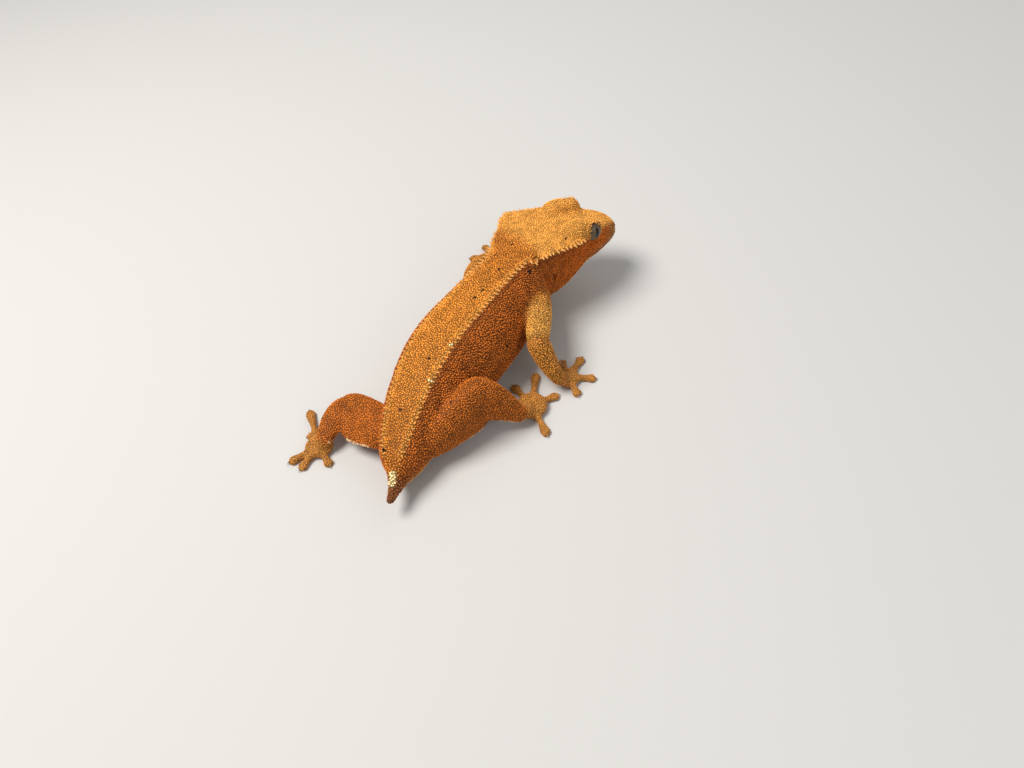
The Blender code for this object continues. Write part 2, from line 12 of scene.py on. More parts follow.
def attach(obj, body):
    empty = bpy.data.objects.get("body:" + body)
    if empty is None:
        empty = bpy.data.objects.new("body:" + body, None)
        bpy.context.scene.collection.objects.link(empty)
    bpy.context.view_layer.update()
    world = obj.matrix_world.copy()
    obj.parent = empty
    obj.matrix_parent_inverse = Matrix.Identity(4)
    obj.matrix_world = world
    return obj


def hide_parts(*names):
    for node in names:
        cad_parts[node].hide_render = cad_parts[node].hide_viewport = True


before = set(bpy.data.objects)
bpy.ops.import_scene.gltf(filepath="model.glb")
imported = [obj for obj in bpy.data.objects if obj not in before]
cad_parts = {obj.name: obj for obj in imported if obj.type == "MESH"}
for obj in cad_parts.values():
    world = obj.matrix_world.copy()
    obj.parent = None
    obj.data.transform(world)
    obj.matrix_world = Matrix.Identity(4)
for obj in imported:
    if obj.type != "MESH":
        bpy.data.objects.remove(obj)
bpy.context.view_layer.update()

# The trunk, from the tip of the tail's stump through the pelvis, belly and chest to inside the head.
# It is soft flesh under one skin, and carries a ridge of skin along each side of the back.
# Its sections are set out in millimetres from a point on the floor under the pelvis.

DESIGN_ORIGIN = np.array((0.125, -31.287, 0.0))
MM = 0.001
# Each section: centre x, y, z, heading, then from the centre the half width, the level of the widest line,
# the belly's depth, the crest's distance out, the crest's height and the height of the midline
TRUNK_SECTIONS = (
    (-4.9, 18.8, 5.6, 16, 0.8, 0.0, 0.8, 0.4, 0.6, 0.8),
    (-4.2, 15.6, 5.9, 16, 1.3, -0.4, 1.7, 0.7, 1.4, 1.7),
    (-3.3, 12.4, 6.2, 15, 2.4, -0.8, 3.0, 1.4, 2.9, 3.3),
    (-1.8, 9.0, 6.7, 13, 4.9, -1.2, 5.2, 2.4, 4.0, 4.6),
    (-0.6, 4.5, 7.2, 10, 6.6, -1.6, 6.4, 3.3, 5.0, 5.7),
    (0.1, -1.0, 8.0, 4, 8.2, -1.8, 7.4, 4.2, 6.8, 7.4),
    (0.3, -8.0, 9.0, 0, 9.8, -2.0, 8.3, 5.0, 8.8, 9.4),
    (0.2, -16.0, 10.0, -2, 11.4, -2.2, 9.2, 5.6, 10.0, 10.7),
    (-0.1, -24.0, 10.8, -6, 12.3, -2.2, 9.8, 5.8, 9.9, 10.7),
    (-1.4, -32.0, 11.8, -10, 12.0, -2.2, 10.2, 5.6, 9.6, 10.3),
    (-3.0, -40.0, 13.0, -11, 10.9, -2.4, 10.6, 5.4, 9.4, 9.9),
    (-4.2, -47.0, 14.2, -9, 9.8, -2.6, 10.8, 5.4, 8.5, 8.9),
    (-3.6, -51.5, 14.4, -18, 10.4, -3.0, 11.2, 7.2, 7.6, 7.9),
    (-2.6, -55.5, 14.4, -28, 10.8, -3.4, 10.8, 9.4, 6.9, 7.2),
    (-1.8, -59.3, 14.2, -39, 9.0, -3.4, 9.2, 11.0, 5.8, 6.2),
)
TRUNK_ROLL = math.radians(-11.0)
BELLY_SQUARENESS = 2.2
FLANK_SQUARENESS = 1.9
RINGS_A_SECTION = 8
SECTION_STEPS = (10, 10, 8)


def along(sections, places):
    """The sections' values at places counted in sections, on smooth curves through them."""
    table = np.array(sections, float)
    last = len(table) - 1
    index = np.clip(np.asarray(places, float).astype(int), 0, last - 1)
    t = (places - index)[:, None]
    a, b, c, d = (table[np.clip(index + k, 0, last)] for k in (-1, 0, 1, 2))
    return b + 0.5 * t * (c - a + t * (2 * a - 5 * b + 4 * c - d + t * (3 * (b - c) + d - a)))


def section_outline(lower, upper, width, level, bottom, crest_out, crest_up, crown):
    """Distances out and up round a section, from the belly over one side to the back and down the other."""
    under, flank, top = SECTION_STEPS
    turn = np.linspace(0, math.pi / 2, under, endpoint=False)
    belly = (width * np.sin(turn) ** (2 / lower), level + (bottom - level) * np.cos(turn) ** (2 / lower))
    turn = np.linspace(0, math.pi / 2, flank, endpoint=False)
    side = (crest_out + (width - crest_out) * np.cos(turn) ** (2 / upper),
            level + (crest_up - level) * np.sin(turn) ** (2 / upper))
    turn = np.linspace(0, math.pi / 2, top + 1)
    back = (crest_out * np.cos(turn), crest_up + (crown - crest_up) * np.sin(turn))
    out = np.concatenate((belly[0], side[0], back[0]))
    high = np.concatenate((belly[1], side[1], back[1]))
    out[-1] = 0.0
    return np.concatenate((out, -out[-2:0:-1])), np.concatenate((high, high[-2:0:-1]))


def unit(vector):
    vector = np.asarray(vector, float)
    return vector / np.linalg.norm(vector, axis=-1, keepdims=True)


def tilted(forward, roll):
    """The leftward and upward axes of a section square to forward."""
    side = unit(np.cross((0, 0, 1), forward))
    high = np.cross(forward, side)
    return (side * math.cos(roll) + high * math.sin(roll), high * math.cos(roll) - side * math.sin(roll))


def trunk_axes(heading):
    turn = math.radians(heading)
    return tilted(np.array((math.sin(turn), -math.cos(turn), 0)), TRUNK_ROLL)


forms = []


def add_form(part, rings, start, end):
    """Keep one closed form of the body: rings of points, with a point at each end."""
    rings = np.array(rings)
    rows, count = rings.shape[:2]
    points = np.vstack((rings.reshape(-1, 3), start, end))
    points[:, 2] = np.maximum(points[:, 2], 0.0)
    faces = []
    for row in range(rows - 1):
        for i in range(count):
            j = (i + 1) % count
            faces.append((row * count + i, row * count + j, (row + 1) * count + j, (row + 1) * count + i))
    for i in range(count):
        j = (i + 1) % count
        faces.append((rows * count, j, i))
        faces.append((rows * count + 1, (rows - 1) * count + i, (rows - 1) * count + j))
    share = np.repeat(np.arange(rows) / (rows - 1), count)
    turn = np.tile(np.arange(count) / count, rows)
    forms.append({"part": part, "points": points, "faces": faces,
                  "share": np.concatenate((share, (0, 1))), "turn": np.concatenate((turn, (0, 0)))})


trunk_places = np.linspace(0, len(TRUNK_SECTIONS) - 1, (len(TRUNK_SECTIONS) - 1) * RINGS_A_SECTION + 1)
trunk_rings = []
for x, y, z, heading, width, level, depth, crest_out, crest_up, crown in along(TRUNK_SECTIONS, trunk_places):
    side, high = trunk_axes(heading)
    outs, ups = section_outline(BELLY_SQUARENESS, FLANK_SQUARENESS, width, level, -depth, crest_out, crest_up,
                                crown)
    trunk_rings.append(np.array((x, y, z)) + outs[:, None] * side + ups[:, None] * high)
add_form("trunk", trunk_rings, trunk_rings[0].mean(0), trunk_rings[-1].mean(0))

# The head, a broad wedge with a flat top between two ridges that spread towards the rear, and a blunt snout.
# It is bone under thin skin, with soft cheeks and throat, and a bulge of skin over each eye.
# Its own frame starts over the tip of the snout, level with the crown.

SNOUT = np.array((-18.9, -81.0, 20.8))
HEAD_YAW = math.radians(-39.7)
HEAD_PITCH = math.radians(2.0)
HEAD_ROLL = math.radians(-6.9)
# Each section: distance behind the snout's tip, half width, level of the widest line, throat, the crest's
# distance out and its height, and the crown
HEAD_SECTIONS = (
    (0.0, 1.2, -6.2, -7.2, 0.9, -5.4, -5.3),
    (0.8, 2.9, -6.3, -8.5, 2.2, -4.2, -3.8),
    (2.4, 4.2, -6.4, -9.4, 3.6, -3.3, -2.7),
    (5.2, 5.7, -6.5, -10.4, 5.4, -2.6, -1.6),
    (8.4, 6.9, -6.6, -11.6, 7.2, -2.2, -1.0),
    (11.8, 8.0, -6.4, -12.4, 9.0, -1.8, -0.4),
    (15.2, 9.4, -7.4, -14.2, 10.6, -1.4, 0.1),
    (19.0, 10.9, -8.6, -15.9, 11.6, -1.0, 0.4),
    (23.0, 12.0, -9.6, -17.1, 12.2, -0.6, 0.4),
    (27.0, 12.2, -10.0, -17.4, 12.8, -0.5, 0.2),
    (30.0, 10.6, -9.6, -16.4, 10.6, -1.7, -0.9),
    (32.4, 7.6, -8.2, -13.8, 7.4, -3.6, -2.8),
)
JAW_SQUARENESS = 2.5
CHEEK_SQUARENESS = 1.7
BROW_CENTRE = (14.0, 6.4, -0.5)
BROW_SIZE = (4.8, 3.5, 3.0)
EYE_CENTRE = (10.2, 6.5, -1.4)
EYE_RADIUS = 2.9
LID_THICKNESS = 0.4

head_forward = np.array((math.sin(HEAD_YAW), -math.cos(HEAD_YAW), 0))
head_side = np.array((math.cos(HEAD_YAW), math.sin(HEAD_YAW), 0))
head_ahead = head_forward * math.cos(HEAD_PITCH) - np.array((0, 0, math.sin(HEAD_PITCH)))
head_high = head_forward * math.sin(HEAD_PITCH) + np.array((0, 0, math.cos(HEAD_PITCH)))
head_left = head_side * math.cos(HEAD_ROLL) + head_high * math.sin(HEAD_ROLL)
head_top = head_high * math.cos(HEAD_ROLL) - head_side * math.sin(HEAD_ROLL)


def on_head(back, left, up):
    """A place in the head's own frame, in the frame of the whole animal."""
    return (SNOUT - np.multiply.outer(back, head_ahead) + np.multiply.outer(left, head_left)
            + np.multiply.outer(up, head_top))


def add_ball(part, centre, size, axes, rows=24, sides=32):
    """Keep one closed ball, stretched to its sizes along three axes."""
    rings = []
    for i in range(1, rows):
        turn = math.pi * i / rows
        spin = np.linspace(0, 2 * math.pi, sides, endpoint=False)
        local = np.stack((np.full(sides, -math.cos(turn)), math.sin(turn) * np.cos(spin),
                          math.sin(turn) * np.sin(spin)), axis=1) * size
        rings.append(centre + local @ np.array(axes))
    first, last = centre - size[0] * axes[0], centre + size[0] * axes[0]
    add_form(part, rings, first, last)


head_places = np.linspace(0, len(HEAD_SECTIONS) - 1, (len(HEAD_SECTIONS) - 1) * RINGS_A_SECTION + 1)
head_rings = []
for back, width, level, throat, crest_out, crest_up, crown in along(HEAD_SECTIONS, head_places):
    outs, ups = section_outline(JAW_SQUARENESS, CHEEK_SQUARENESS, width, level, throat, crest_out, crest_up,
                                crown)
    head_rings.append(on_head(np.full(len(outs), back), outs, ups))
add_form("head", head_rings, on_head(-0.25, 0.0, -6.2), on_head(34.0, 0.0, -8.0))
head_axes = (head_ahead, head_left, head_top)
for hand in (1, -1):
    add_ball("brow", on_head(BROW_CENTRE[0], hand * BROW_CENTRE[1], BROW_CENTRE[2]), BROW_SIZE, head_axes)
    lid_radius = EYE_RADIUS + LID_THICKNESS
    lid_centre = on_head(EYE_CENTRE[0], hand * EYE_CENTRE[1], EYE_CENTRE[2])
    add_ball("brow", lid_centre, (lid_radius,) * 3, head_axes)

# The four limbs, each an upper and a lower length with loose skin behind the bend that thins to a soft edge.
# Muscle and bone under the same skin as the trunk, into which they run without a seam.
# Each station: a place, the half width on the outer and on the inner side of the bend, and half thickness.

LIMBS = {
    "right_arm": (((-8.0, -49.4, 12.6, 4.8, 4.8, 4.4), (-12.0, -45.0, 13.0, 4.2, 4.2, 3.8),
                   (-15.8, -38.6, 13.6, 3.5, 3.5, 3.1), (-18.0, -33.4, 13.8, 3.0, 3.0, 2.7),
                   (-18.6, -31.6, 13.6, 2.3, 2.3, 2.2)),
                  ((-18.2, -32.2, 13.8, 2.8, 2.8, 2.6), (-19.4, -31.6, 11.9, 3.1, 3.1, 2.8),
                   (-21.6, -30.8, 8.5, 2.8, 2.8, 2.5), (-23.7, -30.4, 5.2, 2.2, 2.2, 1.9),
                   (-24.6, -30.8, 3.4, 1.9, 1.9, 1.7))),
    "left_arm": (((1.4, -48.0, 11.6, 4.6, 4.6, 4.2), (5.0, -49.6, 10.0, 3.7, 3.7, 3.5),
                  (9.6, -52.4, 7.4, 3.0, 3.0, 2.8), (12.8, -54.2, 5.8, 2.7, 2.7, 2.5),
                  (13.8, -54.8, 5.2, 2.1, 2.1, 2.0)),
                 ((13.2, -54.4, 5.6, 2.5, 2.5, 2.4), (14.0, -56.6, 5.2, 2.8, 2.8, 2.6),
                  (15.0, -60.6, 4.6, 2.5, 2.5, 2.3), (15.2, -64.8, 3.8, 2.0, 2.0, 1.8),
                  (14.9, -67.0, 3.2, 1.8, 1.8, 1.6))),
    "right_leg": (((-3.0, 3.0, 6.8, 4.8, 4.6, 3.6), (-6.6, -1.4, 8.2, 4.8, 6.0, 3.7),
                   (-9.6, -6.6, 11.2, 4.0, 8.6, 3.3), (-11.8, -11.0, 14.4, 3.2, 7.4, 2.9),
                   (-12.8, -13.4, 15.8, 2.2, 3.6, 2.2)),
                  ((-12.4, -12.2, 15.2, 2.8, 6.0, 2.4), (-14.4, -13.2, 12.8, 3.0, 8.4, 2.6),
                   (-17.2, -14.6, 9.4, 2.7, 6.4, 2.3), (-20.0, -15.8, 5.4, 2.0, 3.2, 1.8),
                   (-21.2, -16.6, 3.6, 1.8, 1.9, 1.6))),
    "left_leg": (((3.0, 2.4, 6.4, 4.4, 5.0, 3.4), (7.6, 1.0, 6.4, 4.4, 7.0, 3.4),
                  (13.0, -0.6, 6.2, 3.8, 8.6, 3.1), (18.0, -1.6, 6.0, 3.2, 7.4, 2.8),
                  (21.0, -1.4, 5.6, 2.4, 4.0, 2.3)),
                 ((19.6, -1.4, 5.6, 2.8, 5.0, 2.4), (21.2, 1.0, 5.4, 3.0, 5.6, 2.6),
                  (21.8, 4.4, 4.8, 2.7, 4.4, 2.3), (21.4, 8.0, 3.8, 2.1, 2.8, 1.9),
                  (21.2, 10.0, 3.2, 1.8, 1.9, 1.6))),
}
INNER_THINNING = 0.55
LIMB_SIDES = 32
END_BULGE = 0.45


def limb_rings(stations, inward, steps=RINGS_A_SECTION):
    """The rings of one length of limb, and the direction of its inner edge at each ring."""
    places = np.linspace(0, len(stations) - 1, (len(stations) - 1) * steps + 1)
    rows = along(stations, places)
    centres = rows[:, :3]
    forward = unit(np.gradient(centres, axis=0))
    across = unit(inward - forward * (forward @ inward)[:, None])
    normal = np.cross(forward, across)
    spin = np.linspace(0, 2 * math.pi, LIMB_SIDES, endpoint=False)
    rings = []
    for centre, (outer, inner, thick), edge, face in zip(centres, rows[:, 3:], across, normal):
        reach = np.cos(spin)
        thinning = 1.0 - INNER_THINNING * np.maximum(0, reach) * max(0.0, inner / outer - 1.0)
        width = reach * np.where(reach > 0, inner, outer)
        rings.append(centre + width[:, None] * edge + (np.sin(spin) * thick * thinning)[:, None] * face)
    return np.array(rings), across


def add_limb_length(part, stations, inward):
    rings, _ = limb_rings(stations, inward)
    start = rings[0].mean(0) + unit(rings[0].mean(0) - rings[1].mean(0)) * stations[0][5] * END_BULGE
    end = rings[-1].mean(0) + unit(rings[-1].mean(0) - rings[-2].mean(0)) * stations[-1][5] * END_BULGE
    add_form(part, rings, start, end)


def inner_side(limb):
    """The direction from a limb's bend to the middle between its two ends."""
    upper, lower = limb
    return (np.array(upper[0][:3]) + lower[-1][:3]) / 2 - lower[0][:3]


for name, limb in LIMBS.items():
    for length, stations in zip(("upper", "lower"), limb):
        add_limb_length(name + "_" + length, stations, inner_side(limb))

# The four feet, pressed flat on the floor with their five toes spread. Each toe is slender and then widens
# to a pad, whose underside grips. Skin over fine bones, grown in one with the wrist or ankle.

FEET = {
    "right_fore": ((-24.7, -31.0, 3.2), (-25.6, -33.6, 1.2), (3.0, 3.0, 1.8),
                   ((-26.1, -41.9), (-32.0, -36.5), (-30.2, -29.6), (-21.4, -38.8), (-18.8, -34.4))),
    "left_fore": ((14.9, -67.2, 3.2), (14.6, -69.8, 1.2), (3.0, 3.0, 1.8),
                  ((21.6, -67.2), (20.4, -74.0), (15.0, -78.2), (9.2, -76.0), (7.8, -69.8))),
    "right_hind": ((-20.8, -17.4, 3.4), (-20.9, -21.6, 1.3), (4.0, 4.0, 2.0),
                   ((-13.3, -26.2), (-17.1, -32.2), (-25.4, -27.8), (-28.1, -15.2), (-14.2, -20.0))),
    "left_hind": ((21.3, 9.6, 3.2), (22.6, 10.2, 1.3), (3.2, 3.6, 2.0),
                  ((32.4, 1.4), (27.8, 7.6), (27.2, 16.8), (23.4, 17.4), (17.2, 13.6))),
}
# A toe from its root to its tip, as a share of its length: half width and half height
TOE_STATIONS = ((0.0, 1.7, 1.15), (0.25, 1.1, 0.98), (0.5, 0.8, 0.85), (0.7, 1.05, 0.75), (0.88, 1.35, 0.62),
                (1.0, 0.85, 0.45))
TOE_SIDES = 20
TOE_RISE = 1.15
TOE_ROOT = 1.0

toes = []
for name, (wrist, palm, palm_size, tips) in FEET.items():
    wrist, palm = np.array(wrist), np.array(palm)
    ahead = unit(np.array((palm[0] - wrist[0], palm[1] - wrist[1], 0)))
    aside = np.cross((0, 0, 1), ahead)
    size = (palm_size[1], palm_size[0], palm_size[2])
    add_ball(name, palm, size, (ahead, aside, np.array((0, 0, 1))))
    heel = wrist + unit(wrist - palm) * 0.8
    middle = palm + (0, 0, 0.3)
    joint = ((*heel, 1.7, 1.7, 1.6), (*wrist, 1.9, 1.9, 1.7), (*middle, 2.0, 2.0, 1.3))
    add_limb_length(name, joint, aside)
    for x, y in tips:
        tip = np.array((x, y, 0.0))
        root = np.array((palm[0], palm[1], 0.0))
        root += unit(tip - root) * TOE_ROOT
        forward = unit(tip - root)
        cross = np.cross((0, 0, 1), forward)
        shares = np.linspace(0, len(TOE_STATIONS) - 1, 26)
        spin = (np.arange(TOE_SIDES) + 0.5) * 2 * math.pi / TOE_SIDES
        rings = []
        for share, width, height in along(TOE_STATIONS, shares):
            ring = root + (tip - root) * share + np.cos(spin)[:, None] * width * cross
            ring[:, 2] = np.maximum(0, height * (1 + TOE_RISE * np.sin(spin)))
            rings.append(ring)
        add_form(name, rings, rings[0].mean(0), tip + forward * 0.5 + (0, 0, 0.4))
        toes.append({"foot": name, "root": root, "tip": tip, "forward": forward, "side": cross})

# The skin, one unbroken hide over trunk, head, limbs and feet. In life it is thin, dry and velvety, and on a
# museum model it is cast in one piece. The forms above are fused, their joints rounded, and then the eye
# openings, mouth, nostrils, ears and folds are pressed in.

FLESH = ["head", "neck", "chest", "abdomen", "tail"]
for limb, lengths in (("arm", ("upper_arm_", "forearm_", "forefoot_")),
                      ("leg", ("thigh_", "shin_", "hindfoot_"))):
    FLESH += [length + hand for length in lengths for hand in ("left", "right")]
HIDE_GRAIN = 0.36
COAT_DEPTH = 0.1
EVEN_ROUNDS = 6
HOLLOW_ROUNDS = 40


def as_object(name, points, faces):
    """A mesh object from points in millimetres of the design frame."""
    data = bpy.data.meshes.new(name)
    data.from_pydata(((np.asarray(points) - DESIGN_ORIGIN) * MM).tolist(), [], faces)
    data.update()
    piece = bpy.data.objects.new(name, data)
    bpy.context.scene.collection.objects.link(piece)
    return piece


def places_of(data):
    flat = np.empty(len(data.vertices) * 3, np.float32)
    data.vertices.foreach_get("co", flat)
    return flat.reshape(-1, 3).astype(float) / MM + DESIGN_ORIGIN


def set_places(data, points):
    data.vertices.foreach_set("co", ((points - DESIGN_ORIGIN) * MM).astype(np.float32).ravel())
    data.update()


form_points = []
form_faces = []
for form in forms:
    start = sum(len(p) for p in form_points)
    form_points.append(form["points"])
    form_faces += [tuple(start + i for i in face) for face in form["faces"]]
skin = as_object("skin", np.vstack(form_points), form_faces)
fuse = skin.modifiers.new("fuse", "REMESH")
fuse.mode = "VOXEL"
fuse.voxel_size = HIDE_GRAIN * MM
graph = bpy.context.evaluated_depsgraph_get()
fused = bpy.data.meshes.new_from_object(skin.evaluated_get(graph))
skin.modifiers.clear()
skin.data = fused
hide = places_of(skin.data)
edges = np.empty(len(skin.data.edges) * 2, np.int32)
skin.data.edges.foreach_get("vertices", edges)
edges = edges.reshape(-1, 2)
ends = np.concatenate((edges, edges[:, ::-1]))
degree = np.bincount(ends[:, 0], minlength=len(hide))[:, None]


def neighbour_mean(values):
    """The mean of each point's neighbours."""
    total = np.stack([np.bincount(ends[:, 0], column[ends[:, 1]], len(values)) for column in values.T],
                     axis=1)
    return total / degree


def normals_of(points):
    set_places(skin.data, points)
    flat = np.empty(len(points) * 3, np.float32)
    skin.data.vertex_normals.foreach_get("vector", flat)
    return flat.reshape(-1, 3).astype(float)


for _ in range(EVEN_ROUNDS):
    hide += 0.5 * (neighbour_mean(hide) - hide)
    hide -= 0.52 * (neighbour_mean(hide) - hide)
for _ in range(HOLLOW_ROUNDS):
    pull = neighbour_mean(hide) - hide
    outward = np.einsum("ij,ij->i", pull, normals_of(hide))
    hollow = np.clip(outward / 0.02, 0, 1)[:, None]
    hide += 0.5 * hollow * pull

# The eyes stand in round openings with a thin raised rim. Crested geckos have no lids that move.
EYE_AHEAD = math.radians(15.0)
EYE_DOWN = math.radians(8.0)
OPENING_HALF_WIDTH = 0.68
OPENING_HALF_HEIGHT = 0.95
OPENING_DEPTH = 0.45
RIM_HEIGHT = 0.32


def eye_axes(hand):
    """An eye's centre, the direction it looks in, and its forward and upward axes."""
    centre = on_head(EYE_CENTRE[0], hand * EYE_CENTRE[1], EYE_CENTRE[2])
    level_gaze = head_left * hand * math.cos(EYE_AHEAD) + head_ahead * math.sin(EYE_AHEAD)
    gaze = level_gaze * math.cos(EYE_DOWN) - head_top * math.sin(EYE_DOWN)
    high = unit(head_top - gaze * (head_top @ gaze))
    ahead = np.cross(high, gaze) * hand
    return centre, gaze, ahead, high


bare = np.zeros(len(hide))
for hand in (1, -1):
    centre, gaze, ahead, high = eye_axes(hand)
    away = hide - centre
    reach = np.linalg.norm(away, axis=1)
    direction = away / reach[:, None]
    across = direction @ ahead / OPENING_HALF_WIDTH
    upward = direction @ high / OPENING_HALF_HEIGHT
    spread = np.hypot(across, upward)
    front = (direction @ gaze > 0) & (reach < EYE_RADIUS + 2.0)
    slope = np.clip((spread - 0.86) / 0.24, 0, 1)
    slope = slope * slope * (3 - 2 * slope)
    rim = RIM_HEIGHT * np.exp(-((spread - 1.12) / 0.14) ** 2)
    wanted = EYE_RADIUS - OPENING_DEPTH + (OPENING_DEPTH + 0.18) * slope + rim
    inside = front & (spread < 1.1)
    reach = np.where(inside, wanted, np.where(front & (spread < 1.5), np.maximum(reach, wanted), reach))
    hide = centre + direction * reach[:, None]
    bare = np.maximum(bare, np.where(front, np.clip((1.04 - spread) / 0.08, 0, 1), 0))

# Lines pressed in or raised: the mouth, the folds of neck and flank, and the two ridges of the crest.
trunk_rings = np.array(trunk_rings)
head_rings = np.array(head_rings)
RING_POINTS = trunk_rings.shape[1]
CREST_TURN = SECTION_STEPS[0] + SECTION_STEPS[1]
MOUTH_TURN = 7.8


def on_rings(rings, places, turns):
    """Points on a lofted form at places counted in sections and turns counted in ring points."""
    rows = np.clip(np.asarray(places, float) * RINGS_A_SECTION, 0, len(rings) - 1.001)
    turns = np.asarray(turns, float) % RING_POINTS
    row, column = rows.astype(int), turns.astype(int)
    down, round_ = (rows - row)[:, None], (turns - column)[:, None]
    beyond = (column + 1) % RING_POINTS
    near = rings[row, column] * (1 - round_) + rings[row, beyond] * round_
    far = rings[row + 1, column] * (1 - round_) + rings[row + 1, beyond] * round_
    return near * (1 - down) + far * down


def line_distance(points, line, reach):
    """Each point's distance to the nearest place of a dense line, where it is less than the reach."""
    distance = np.full(len(points), 1e3)
    near = np.all((points > line.min(0) - reach) & (points < line.max(0) + reach), axis=1)
    close = points[near]
    best = np.full(len(close), 1e3)
    for place in line:
        best = np.minimum(best, ((close - place) ** 2).sum(1))
    distance[near] = np.sqrt(best)
    return distance


def press(line, depth, width, lips=0.0):
    """Press a line into the hide, with an optional raised edge on either side."""
    global hide
    distance = line_distance(hide, line, width * 4)
    shape = -depth * np.exp(-(distance / width) ** 2)
    shape += lips * np.exp(-((distance - 2.4 * width) / (1.1 * width)) ** 2)
    hide = hide + normals_of(hide) * shape[:, None]
    return distance


def both_hands(turn):
    """A turn counted on the left side, and its mirror image on the right."""
    return turn, RING_POINTS - turn


mouth = np.full(len(hide), 1e3)
for turn in both_hands(MOUTH_TURN):
    places = np.linspace(0.0, 8.3, 160)
    droop = np.where(places > 6.5, (places - 6.5) * 0.6, 0) * (1 if turn < RING_POINTS / 2 else -1)
    mouth = np.minimum(mouth, press(on_rings(head_rings, places, turn - droop), 0.42, 0.24, 0.14))
# Each fold: the rings it lies on, its places and turns from end to end, and its depth and width
FOLDS = (
    (trunk_rings, (12.6, 12.9, 13.2), (17.0, 11.0, 4.0), 0.45, 0.8),
    (trunk_rings, (12.1, 12.2, 12.3), (15.0, 10.0, 6.0), 0.22, 0.5),
    (trunk_rings, (11.4, 11.6, 11.5), (18.0, 14.5, 11.0), 0.2, 0.5),
    (trunk_rings, (10.0, 9.6, 9.0), (13.0, 11.0, 8.5), 0.3, 0.8),
    (trunk_rings, (9.4, 7.5, 5.8), (10.0, 9.3, 10.4), 0.28, 0.9),
    (trunk_rings, (9.0, 7.4, 6.2), (13.0, 12.4, 13.0), 0.12, 0.7),
    (trunk_rings, (6.0, 5.4, 4.6), (16.5, 14.5, 12.0), 0.3, 0.7),
    (trunk_rings, (4.0, 3.6, 3.4), (17.0, 14.0, 11.0), 0.2, 0.5),
    (head_rings, (9.4, 9.2, 8.6), (15.0, 12.5, 9.5), 0.25, 0.6),
    (head_rings, (8.2, 8.3, 8.6), (7.0, 5.5, 3.5), 0.25, 0.5),
)
for rings, places, turns, depth, width in FOLDS:
    steps = np.linspace(0, 2, 60)
    path = along(np.stack((places, turns), axis=1), steps)
    for turned in (path[:, 1], RING_POINTS - path[:, 1]):
        press(on_rings(rings, path[:, 0], turned), depth, width, depth * 0.25)
HEAD_CREST = (4.6, 9.5)
BACK_CREST = (11.7, 2.8)
HEAD_STEPS, NECK_STEPS, BACK_STEPS = 600, 120, 1500
NECK_BULGE = 1.6


def crest_line(turn):
    """One crest, from over the eye back along the head, across the neck and down the back."""
    head = on_rings(head_rings, np.linspace(*HEAD_CREST, HEAD_STEPS), np.full(HEAD_STEPS, turn))
    back = on_rings(trunk_rings, np.linspace(*BACK_CREST, BACK_STEPS), np.full(BACK_STEPS, turn))
    share = np.linspace(0, 1, NECK_STEPS)[:, None]
    outward = head_left * (1 if turn < RING_POINTS / 2 else -1)
    neck = head[-1] * (1 - share) + back[0] * share + outward * NECK_BULGE * 4 * share * (1 - share)
    return np.concatenate((head, neck, back))


crest_lines = [crest_line(turn) for turn in both_hands(CREST_TURN)]
ridge = np.full(len(hide), 1e3)
for line in crest_lines:
    ridge = np.minimum(ridge, press(line[::5], -0.3, 0.55))

# Nostrils near the tip of the snout, and an upright oval ear opening behind each cheek.
NOSTRIL_PLACE = (1.5, 2.75, -5.0)
NOSTRIL_RADIUS = 0.42
EAR_PLACE = (24.2, 12.0, -8.6)
EAR_HALF_SIZE = (0.75, 1.5)
# painted shade: how much the insides of the nostrils, ear openings and mouth groove are darkened
opening_painted_shade = np.zeros(len(hide))
for hand in (1, -1):
    nostril = on_head(NOSTRIL_PLACE[0], hand * NOSTRIL_PLACE[1], NOSTRIL_PLACE[2])
    distance = np.linalg.norm(hide - nostril, axis=1)
    shape = -0.5 * np.exp(-(distance / NOSTRIL_RADIUS) ** 2)
    shape += 0.14 * np.exp(-((distance - 0.95) / 0.35) ** 2)
    ear = on_head(EAR_PLACE[0], hand * EAR_PLACE[1], EAR_PLACE[2])
    away = hide - ear
    oval = np.hypot(away @ head_ahead / EAR_HALF_SIZE[0], away @ head_top / EAR_HALF_SIZE[1])
    oval = np.where(np.abs(away @ head_left) < 3.0, oval, 9.0)
    shape += -0.9 * np.exp(-(oval / 0.8) ** 4) + 0.15 * np.exp(-((oval - 1.35) / 0.3) ** 2)
    hide = hide + normals_of(hide) * shape[:, None]
    bare = np.maximum(bare, np.exp(-(oval / 0.95) ** 6))
    bare = np.maximum(bare, np.exp(-(distance / 0.62) ** 6))
    opening_painted_shade = np.maximum(opening_painted_shade, 0.5 * np.exp(-(oval / 0.8) ** 4))
    opening_painted_shade = np.maximum(opening_painted_shade, np.exp(-(distance / 0.45) ** 4))
bare = np.maximum(bare, np.exp(-(mouth / 0.3) ** 6))
opening_painted_shade = np.maximum(opening_painted_shade, np.exp(-(mouth / 0.24) ** 2))
hide -= normals_of(hide) * COAT_DEPTH
hide[:, 2] = np.maximum(hide[:, 2], 0.03)

